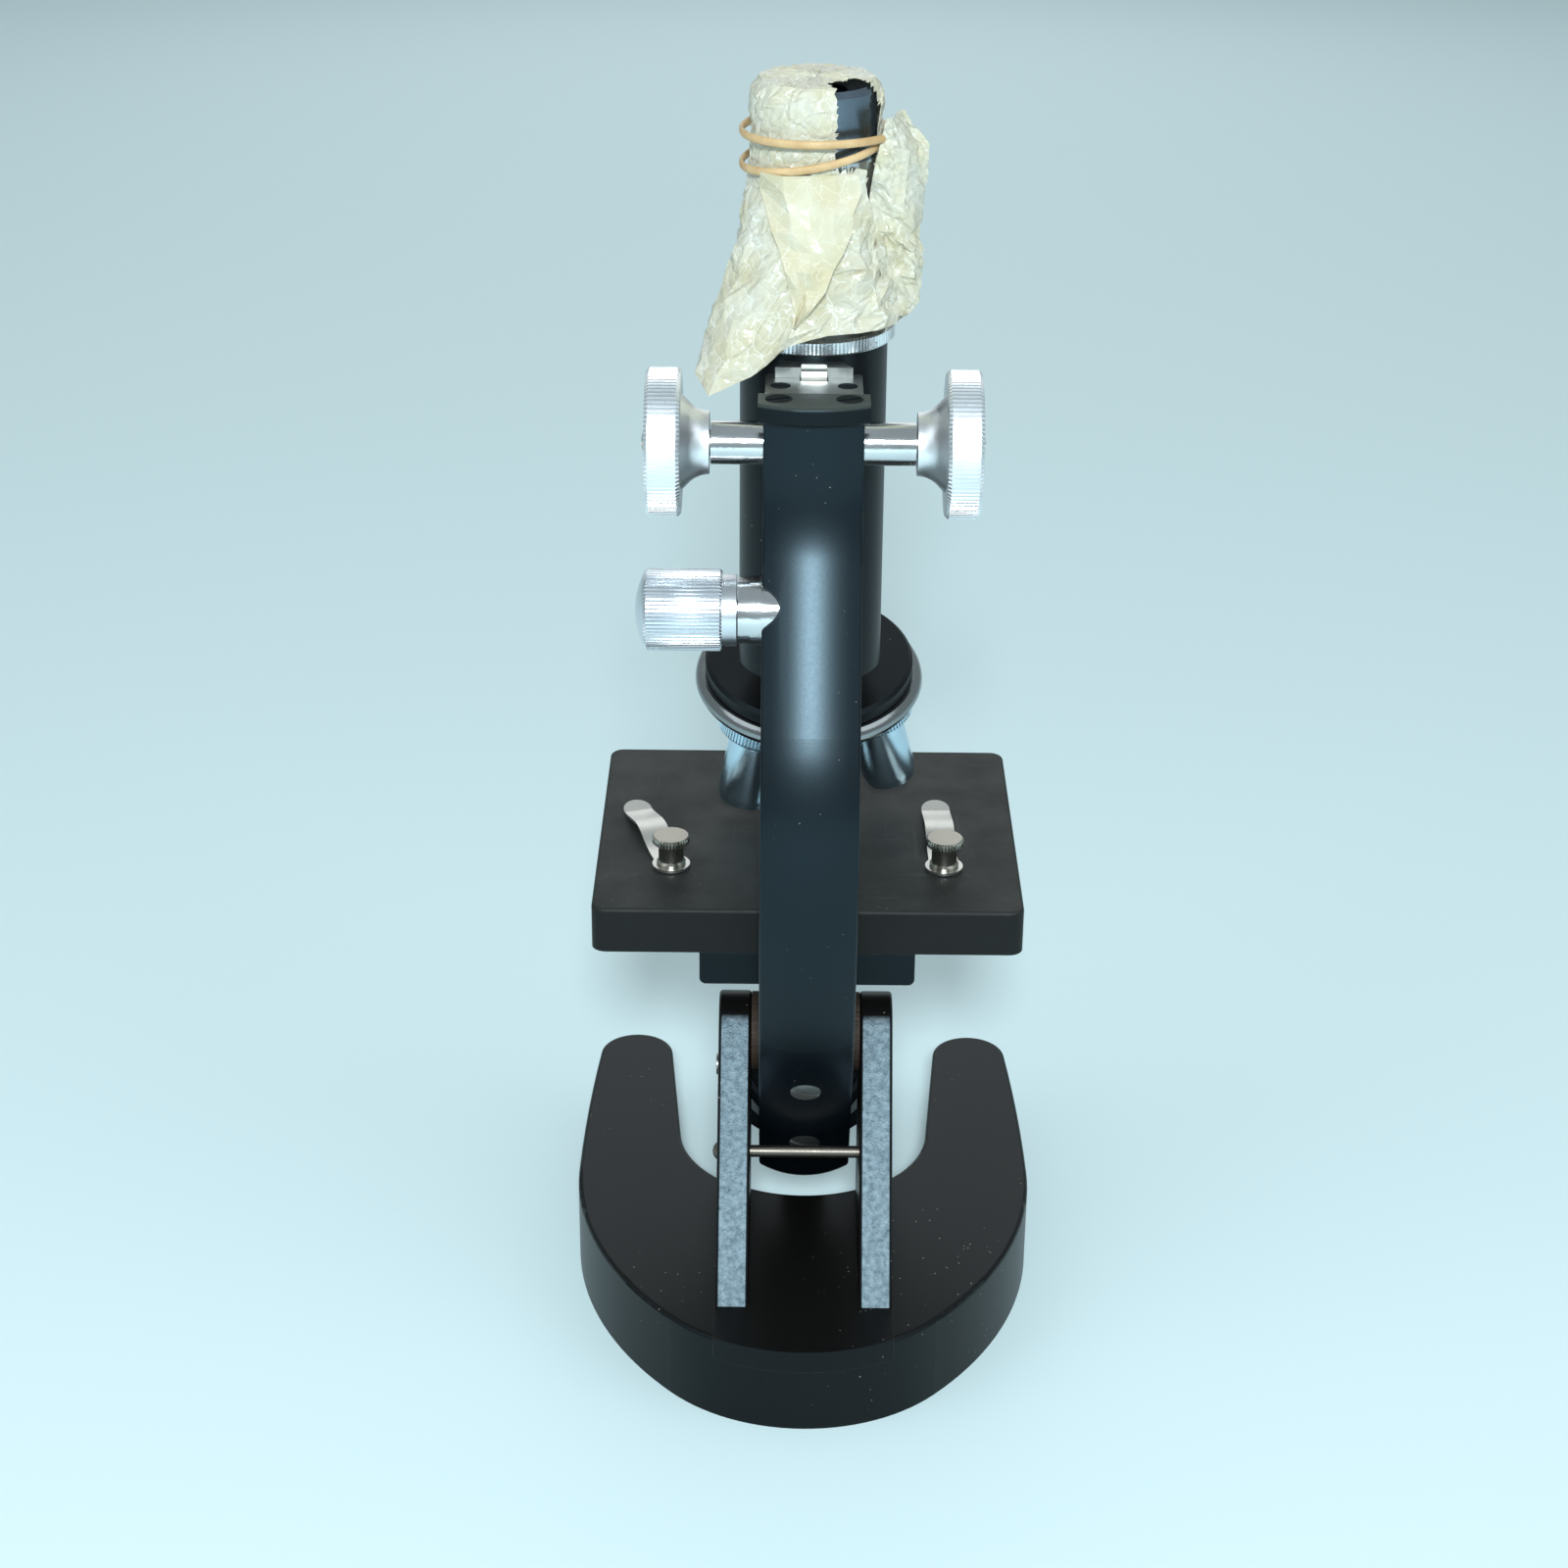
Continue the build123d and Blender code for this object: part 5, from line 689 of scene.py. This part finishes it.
# %% Objectives
GRIP_GROOVES = 72
GRIP_GROOVE = 0.25
GRIP_R = 8.75
GRIP_TALL = 3.5
GRIP_EDGE = 0.35
BARREL_R = 6
WAIST_R = 5.5
BEVEL_R = 5.75        # where the barrel's ends are broken
INNER_R = 3.6
LENS_R = 2.42
THREAD = 3.2          # length of the thread in the turret
SEAT_OUT = 14
SEAT_DOWN = 10
OBJECTIVE_TURNS = {   # turn in degrees and length
    "left": (-47, 20.5),
    "right": (73, 20.0),
    "short": (193, 14.0),
}
turret = joints["turret_turn"]
nose = Vector(turret["pos_m"])
up = Vector(turret["axis"]).normalized()
across = Vector((1, 0, 0))
ahead = up.cross(across)
slant = atan2(-up.y, up.z)
for label, (turn, length) in OBJECTIVE_TURNS.items():
    out = across * sin(radians(turn)) - ahead * cos(radians(turn))
    shoulder = nose + out * SEAT_OUT * MM - up * SEAT_DOWN * MM
    axis = up * cos(slant) - out * sin(slant)
    tip = -length
    outline = [(INNER_R, THREAD), (BARREL_R, THREAD), (BARREL_R, 0), (GRIP_R - GRIP_EDGE, 0)]
    outline += [(GRIP_R, -GRIP_EDGE), (GRIP_R, GRIP_EDGE - GRIP_TALL), (GRIP_R - GRIP_EDGE, -GRIP_TALL)]
    outline += [(WAIST_R, -GRIP_TALL), (WAIST_R, -4.7), (BEVEL_R, -5.0), (BARREL_R, -5.3)]
    outline += [(BARREL_R, tip + 2.4), (BEVEL_R, tip + 1.6), (5.4, tip + 0.15), (5.2, tip)]
    outline += [(LENS_R, tip), (LENS_R, tip + 1.5), (INNER_R, tip + 1.5)]
    mesh = turn_outline(outline, GRIP_GROOVES)
    mill(mesh, GRIP_GROOVES, GRIP_R, GRIP_GROOVE)
    as_piece(
        mesh,
        "lens_barrel_" + label,
        pointing(shoulder, axis),
        gunmetal,
        "turret",
        ["objective_" + label],
    )

# %% [markdown]
# ## Film over the eyepiece
#
# A scrap of waxed film protects the eyepiece. It is gathered by a rubber band, torn open on the right and
# drawn out into a tail on the left. Crumpled film is flat between its creases, so smooth noise would look
# like cloth. Instead a coarse net of triangles is shaken, which gives the big facets, then each triangle
# is divided and shaken a little more, which gives the fine ones.


# %% Film finish
def film_finish(name, dull, clear, whitening_and_glint, crease_depth):
    """Waxed film: nearly opaque, with whitened creases that form a fine broken net. Their lighter colour also
    paints the glints along them.
    """
    finish, shader = new_finish(name, clear, 0.2)
    where = place_of(finish)
    tone = blend_colours(finish, mottle(finish, where, 150, 0, 1), dull, clear)
    drift = add_node(finish, "ShaderNodeTexNoise", {"Vector": where, "Scale": 240})
    inputs = {0: drift.outputs["Color"], "Scale": 0.006}
    bent = add_node(finish, "ShaderNodeVectorMath", inputs, operation="SCALE")
    moved = add_node(finish, "ShaderNodeVectorMath", {0: where, 1: bent.outputs["Vector"]}, operation="ADD")
    inputs = {"Vector": moved.outputs["Vector"], "Scale": 330}
    creases = add_node(finish, "ShaderNodeTexVoronoi", inputs, feature="DISTANCE_TO_EDGE")
    ridges = creases.outputs["Distance"]
    inputs = {"Value": ridges, "From Max": 0.05, "To Min": 1.0, "To Max": 0.0}
    lines = add_node(finish, "ShaderNodeMapRange", inputs)
    broken = times(finish, lines.outputs["Result"], mottle(finish, where, 260, 0, 1))
    # The crease colour is partly real whitening and partly a painted highlight of the glints on the creases.
    tone = blend_colours(finish, broken, tone, whitening_and_glint)
    join(finish, tone, shader.inputs["Base Color"])
    veil = add_node(finish, "ShaderNodeMapRange", {"Value": broken, "To Min": 0.84, "To Max": 0.95})
    join(finish, veil.outputs["Result"], shader.inputs["Alpha"])
    raise_surface(finish, shader, ridges, crease_depth)
    return finish


film = film_finish("film_finish", (0.6, 0.55, 0.38), (0.7, 0.68, 0.58), (0.82, 0.82, 0.78), 0.00035)
smooth_film = film_finish("smooth_film", (0.62, 0.55, 0.36), (0.7, 0.66, 0.51), (0.74, 0.71, 0.6), 0.00012)

# %% [markdown]
# The film's outline is kept in tables. Heights, radii and X places are in millimetres, and a turn goes round
# the tube in degrees, from the right and anticlockwise as seen from above.

# %% Film shapes
AXIS_Y = optical.y / MM
FILM_THICK = 0.12
FILM_PROFILE = (      # height and radius of the sleeve, millimetres
    (265.9, 11.2),
    (264.9, 12.7),
    (262.4, 13.5),
    (258.5, 13.1),
    (249.5, 13.0),
    (246.0, 13.5),
    (240.0, 14.2),
    (230.0, 15.5),
    (219.0, 17.3),
)
FILM_GATHER = 247     # the film hangs free below this height
FILM_FREE = 28        # and is wholly slack after this run
FILM_FOLDS = (        # depth, how many round the sleeve, and how they slant
    (0.8, 7, 0.09),
    (0.5, 11, -0.16),
)
FILM_TAIL = {"turn": 222, "spread": 25, "reach": 10.2, "drop": 12.8}
FILM_TEARS = (        # lowest and highest point, then from and to which turn
    (250.0, 266.5, 287, 337),
    (243.0, 250.0, 318, 334),
)
LID_TEAR_R = 6.5
LEAF_LEFT = ((249.5, -11.5), (245.7, -11.0), (238.0, -8.6), (230.0, -5.6), (221.0, -4.2))
LEAF_RIGHT = ((249.5, 8.4), (246.7, 8.9), (238.0, 6.6), (230.0, 3.2), (221.0, -3.4))
FAN_INNER = ((260.0, 13.2), (256.0, 12.6), (248.0, 11.0), (243.0, 10.4), (232.0, 12.6), (217.5, 14.2))
FAN_OUTER = (
    (260.0, 17.4),
    (255.0, 20.4),
    (253.4, 22.2),
    (247.5, 22.2),
    (236.5, 21.0),
    (234.0, 20.2),
    (232.0, 21.7),
    (222.5, 21.0),
    (217.5, 16.8),
)


def between(table, value):
    """Straight-line value from a table whose first column falls."""
    for (high, first), (low, second) in zip(table, table[1:]):
        if value >= low:
            share = (high - value) / (high - low)
            return first + (second - first) * share
    return table[-1][1]


def hump(value, middle, width):
    """A smooth hump: 1 in the middle and near 0 two widths away."""
    return exp(-(((value - middle) / width) ** 2))


def slack_at(height):
    """0 where the band gathers the film and 1 at its hem."""
    return max(0.0, min(1.0, (FILM_GATHER - height) / FILM_FREE))


def sleeve_spot(turn, height, shake):
    """Where a point of a straight sleeve goes: to the outline, into folds and into the tail."""
    slack = slack_at(height)
    radius = between(FILM_PROFILE, height)
    for depth, count, slant in FILM_FOLDS:
        radius += slack * depth * (1 + sin(count * turn + slant * height))
    tail = hump(degrees(turn) % 360, FILM_TAIL["turn"], FILM_TAIL["spread"]) * slack**1.5
    radius += FILM_TAIL["reach"] * tail + shake * (0.25 + 0.75 * slack)
    height -= FILM_TAIL["drop"] * tail
    return Vector((radius * cos(turn), AXIS_Y + radius * sin(turn), height)) * MM


def torn(turn, height, radius):
    """Whether a spot lies in one of the tears."""
    if radius < LID_TEAR_R:
        return False
    return any(low < height < high and start < turn < end for low, high, start, end in FILM_TEARS)


def in_order(mesh):
    """Points sorted by place, so that the random draws fall on the same points in every run."""
    return sorted(mesh.verts, key=lambda point: [round(value / MM, 3) for value in point.co])


def crumple(mesh, chance, cuts, shake):
    """Divide every triangle and move the new points a little, off the surface."""
    bmesh.ops.subdivide_edges(mesh, edges=mesh.edges[:], cuts=cuts, use_grid_fill=True)
    bmesh.ops.triangulate(mesh, faces=mesh.faces[:], quad_method="ALTERNATE")
    mesh.normal_update()
    for point in in_order(mesh):
        point.co += point.normal * chance.uniform(-shake, shake) * MM


# %% [markdown]
# The sleeve is spun like the turned pieces, closed by a lid, crumpled and then torn.


# %% Film sleeve
SLEEVE_COLUMNS = 32
SLEEVE_ROWS = 18
SLEEVE_SHAKE = 1.2    # off the outline, millimetres
SLEEVE_TWIST = 0.07   # round the tube, radians
SLEEVE_LIFT = 0.9     # along the tube, millimetres


def close_lid(mesh, top, start_r):
    """Draw the upper rim in, ring by ring, until it closes."""
    rim = [edge for edge in mesh.edges if edge.is_boundary and edge.verts[0].co.z > (top - 1) * MM]
    for shrink in (0.8, 0.5, 0.2, 0):
        grown = bmesh.ops.extrude_edge_only(mesh, edges=rim)["geom"]
        for point in grown:
            if isinstance(point, bmesh.types.BMVert):
                point.co.xy = point.co.xy.normalized() * start_r * shrink * MM
        rim = [item for item in grown if isinstance(item, bmesh.types.BMEdge) and item.is_boundary]
    bmesh.ops.remove_doubles(mesh, verts=mesh.verts, dist=MERGE)


def tear(mesh):
    """Take out the faces whose middle lies in a tear."""
    holes = []
    for face in mesh.faces:
        x, y, height = face.calc_center_median() / MM
        if torn(degrees(atan2(y - AXIS_Y, x)) % 360, height, hypot(x, y - AXIS_Y)):
            holes.append(face)
    bmesh.ops.delete(mesh, geom=holes, context="FACES")


def film_sleeve():
    """The sleeve with its lid, folds, tail and tears."""
    chance = Random(11)
    mesh = bmesh.new()
    top, hem = FILM_PROFILE[0][0], FILM_PROFILE[-1][0]
    start_r = FILM_PROFILE[0][1]
    heights = [top + (hem - top) * row / SLEEVE_ROWS for row in range(SLEEVE_ROWS + 1)]
    column = [mesh.verts.new((start_r * MM, 0, height * MM)) for height in heights]
    line = [mesh.edges.new(pair) for pair in zip(column, column[1:])]
    spin_round(mesh, column, line, SLEEVE_COLUMNS)
    close_lid(mesh, top, start_r)
    bmesh.ops.triangulate(mesh, faces=mesh.faces[:], quad_method="ALTERNATE")
    for point in in_order(mesh):
        height = point.co.z / MM
        shake = chance.uniform(-SLEEVE_SHAKE, SLEEVE_SHAKE)
        if hypot(point.co.x, point.co.y) > 0.99 * start_r * MM:
            turn = atan2(point.co.y, point.co.x) + chance.uniform(-SLEEVE_TWIST, SLEEVE_TWIST)
            if height < top - 1:
                height += chance.uniform(-SLEEVE_LIFT, SLEEVE_LIFT)
            point.co = sleeve_spot(turn, max(height, hem), shake)
        else:
            point.co += Vector((0, AXIS_Y, 0.1 + 0.25 * shake)) * MM
    crumple(mesh, chance, 2, 0.2)
    tear(mesh)
    bmesh.ops.recalc_face_normals(mesh, faces=mesh.faces)
    return mesh


# %% [markdown]
# The torn part stands away on the right as a stiff fan. It is a flat grid, pulled to its outline and bent
# into pleats.


# %% Film fan
FAN_NEAR = 9.5        # how far in front of the tube's axis the fan begins
FAN_BACK = 7.0        # how far it runs back on the way out
FAN_PLEAT = 1.6
FAN_SHAKE = 0.9
FAN_LIFT = 0.7


def film_grid(seed, columns, rows, spot, cuts, shake):
    """A flat grid whose points go where a function puts them, crumpled."""
    chance = Random(seed)
    mesh = bmesh.new()
    bmesh.ops.create_grid(mesh, x_segments=columns, y_segments=rows, size=0.5)
    bmesh.ops.triangulate(mesh, faces=mesh.faces[:], quad_method="ALTERNATE")
    for point in mesh.verts:
        point.co = spot(point.co.x + 0.5, point.co.y + 0.5, chance)
    crumple(mesh, chance, cuts, shake)
    bmesh.ops.recalc_face_normals(mesh, faces=mesh.faces)
    return mesh


def fan_spot(across, up, chance):
    """Where a point of the grid goes in the fan."""
    low, high = FAN_OUTER[-1][0], FAN_OUTER[0][0]
    height = low + (high - low) * up
    inner = between(FAN_INNER, height)
    x = inner + (between(FAN_OUTER, height) - inner) * across
    pleat = FAN_PLEAT * sin(5.5 * across + 0.11 * height)
    y = AXIS_Y - FAN_NEAR + FAN_BACK * across + pleat + chance.uniform(-FAN_SHAKE, FAN_SHAKE)
    if 0.01 < up < 0.99:
        height += chance.uniform(-FAN_LIFT, FAN_LIFT)
    return Vector((x, y, height)) * MM


# %% [markdown]
# In front a part of the film is folded over and hangs from the band as a leaf. It is smoother than the
# rest, so it gets larger facets and only a light second shake.


# %% Film leaf
LEAF_OFF = 1.3        # how far the leaf stands off the sleeve under the band
LEAF_OFF_HEM = 2.6    # and how much more at the hem
LEAF_SHAKE = 1.0
LEAF_SWAY = 0.5


def leaf_spot(across, up, chance):
    """Where a point of the grid goes in the leaf."""
    low, high = LEAF_LEFT[-1][0], LEAF_LEFT[0][0]
    height = low + (high - low) * up
    left = between(LEAF_LEFT, height)
    x = left + (between(LEAF_RIGHT, height) - left) * across + chance.uniform(-LEAF_SWAY, LEAF_SWAY)
    slack = slack_at(height)
    reach = between(FILM_PROFILE, height) + LEAF_OFF + LEAF_OFF_HEM * slack
    reach += chance.uniform(-LEAF_SHAKE, LEAF_SHAKE)
    return Vector((x, AXIS_Y - (reach**2 - x**2) ** 0.5, height)) * MM


def thicken(mesh):
    """Give a sheet its thickness, so that it is a closed shell."""
    bmesh.ops.solidify(mesh, geom=mesh.faces[:], thickness=FILM_THICK * MM)
    return mesh


here = Matrix.Identity(4)
FILM_PIECES = (       # name, mesh, finish, flat width in metres, what it lies on, what it replaces
    ("film_cover", film_sleeve(), film, 0.085, "eyepiece_body", ["eyepiece_wrap"]),
    ("film_fan", film_grid(5, 5, 17, fan_spot, 2, 0.22), film, 0.012, "film_cover", ()),
    ("film_leaf", film_grid(3, 4, 8, leaf_spot, 3, 0.08), smooth_film, 0.02, "film_cover", ()),
)
for name, mesh, finish, width, under, replaced in FILM_PIECES:
    area = sum(face.calc_area() for face in mesh.faces)
    print(name, "is", round(width * 1000), "by", round(area / width * 1000), "mm when laid flat")
    sheet = as_piece(thicken(mesh), name, here, finish, "wrap", replaced, crease=11)

# %% [markdown]
# ## Rubber band
#
# One band is wound twice round the film and crosses itself on the right. It is a closed loop, so a
# cyclic NURBS curve follows its two turns and a round bevel gives it body.


# %% Rubber band
RUBBER = (0.6, 0.38, 0.17)
RUBBER_DARK = (0.51, 0.323, 0.1445)
RUBBER_PALE = (0.68, 0.48, 0.26)


def rubber_finish():
    """Tan rubber that lets a little light in."""
    finish, shader = new_finish("band_rubber", RUBBER, 0.5)
    where = place_of(finish)
    tone = blend_colours(finish, mottle(finish, where, 220, 0, 1), RUBBER_DARK, RUBBER_PALE)
    join(finish, tone, shader.inputs["Base Color"])
    raise_surface(finish, shader, mottle(finish, where, 2500, 0, 1), 0.00005)
    shader.inputs["Subsurface Weight"].default_value = 0.15
    shader.inputs["Subsurface Radius"].default_value = (0.002, 0.001, 0.0005)
    return finish


BAND_TURN_R = 14.95
BAND_CROSS = 0.85
BAND_Z = 253.6
BAND_RISE = 3.4
BAND_THICK = 1.0
BAND_TALL = 1.7
BAND_TILT = 1.5       # higher on the right
BAND_POINTS = 48
curve = bpy.data.curves.new("band_path", "CURVE")
curve.dimensions = "3D"
curve.bevel_depth = BAND_THICK / 2 * MM
curve.bevel_resolution = 4
loop = curve.splines.new("NURBS")
loop.points.add(BAND_POINTS - 1)
for index, point in enumerate(loop.points):
    turn = 4 * pi * index / BAND_POINTS
    radius = BAND_TURN_R + BAND_CROSS * sin(turn / 2)
    height = (BAND_Z + BAND_RISE * cos(turn / 2) - BAND_TILT * cos(turn)) * BAND_THICK / BAND_TALL
    point.co = (-radius * cos(turn) * MM, (AXIS_Y - radius * sin(turn)) * MM, height * MM, 1)
loop.use_cyclic_u = True
loop.order_u = 4
guide = bpy.data.objects.new("band_path", curve)
show(guide)
band_mesh = bmesh.new()
band_mesh.from_mesh(bpy.data.meshes.new_from_object(guide))
bpy.data.objects.remove(guide)
bmesh.ops.remove_doubles(band_mesh, verts=band_mesh.verts, dist=MERGE)
bmesh.ops.scale(band_mesh, verts=band_mesh.verts, vec=(1, 1, BAND_TALL / BAND_THICK))
as_piece(
    band_mesh,
    "elastic_band",
    here,
    rubber_finish(),
    "wrap",
    ["rubber_band"],
    crease=180,
)

# %% [markdown]
# ## Floor and light
#
# A pale floor and large soft lights keep the eye on the microscope. A small flash stands behind
# and above the camera. It gives the arm its long soft highlight, lights the cast slopes that face it, and
# sets the lands of the milled rims off from their grooves.

# %% Floor and light
floor_mesh = bmesh.new()
bmesh.ops.create_grid(floor_mesh, x_segments=1, y_segments=1, size=4)
floor_data = bpy.data.meshes.new("floor")
floor_mesh.to_mesh(floor_data)
floor_mesh.free()
floor = bpy.data.objects.new("floor", floor_data)
show(floor)
floor_finish, _ = new_finish("floor_finish", (0.68, 0.82, 0.84), 0.9)
floor_data.materials.append(floor_finish)


def soft_light(name, place, target, size, watts, colour=(1, 1, 1)):
    """A round lamp that looks at a target."""
    lamp = bpy.data.lights.new(name, "AREA")
    lamp.shape = "DISK"
    lamp.size = size
    lamp.energy = watts
    lamp.color = colour
    holder = bpy.data.objects.new(name, lamp)
    holder.location = place
    holder.rotation_euler = (Vector(target) - Vector(place)).to_track_quat("-Z", "Y").to_euler()
    show(holder)


soft_light("flash", (0.0, -1.25, 0.9), (0, 0, 0.13), 0.19, 22, (0.84, 0.95, 1))
soft_light("back_fill", (0, 1.3, 0.75), (0, 0, 0.15), 1.2, 2.6)
soft_light("left_fill", (-1.2, -0.6, 1.2), (0, 0, 0.1), 1.2, 4, (0.9, 0.97, 1))
soft_light("right_fill", (1.2, -0.6, 1.2), (0, 0, 0.1), 1.2, 4, (0.9, 0.97, 1))
world = bpy.data.worlds.new("studio")
world.use_nodes = True
sky = world.node_tree.nodes["Background"]
sky.inputs["Color"].default_value = (0.82, 0.96, 1.0, 1)
sky.inputs["Strength"].default_value = 0.42
bpy.context.scene.world = world
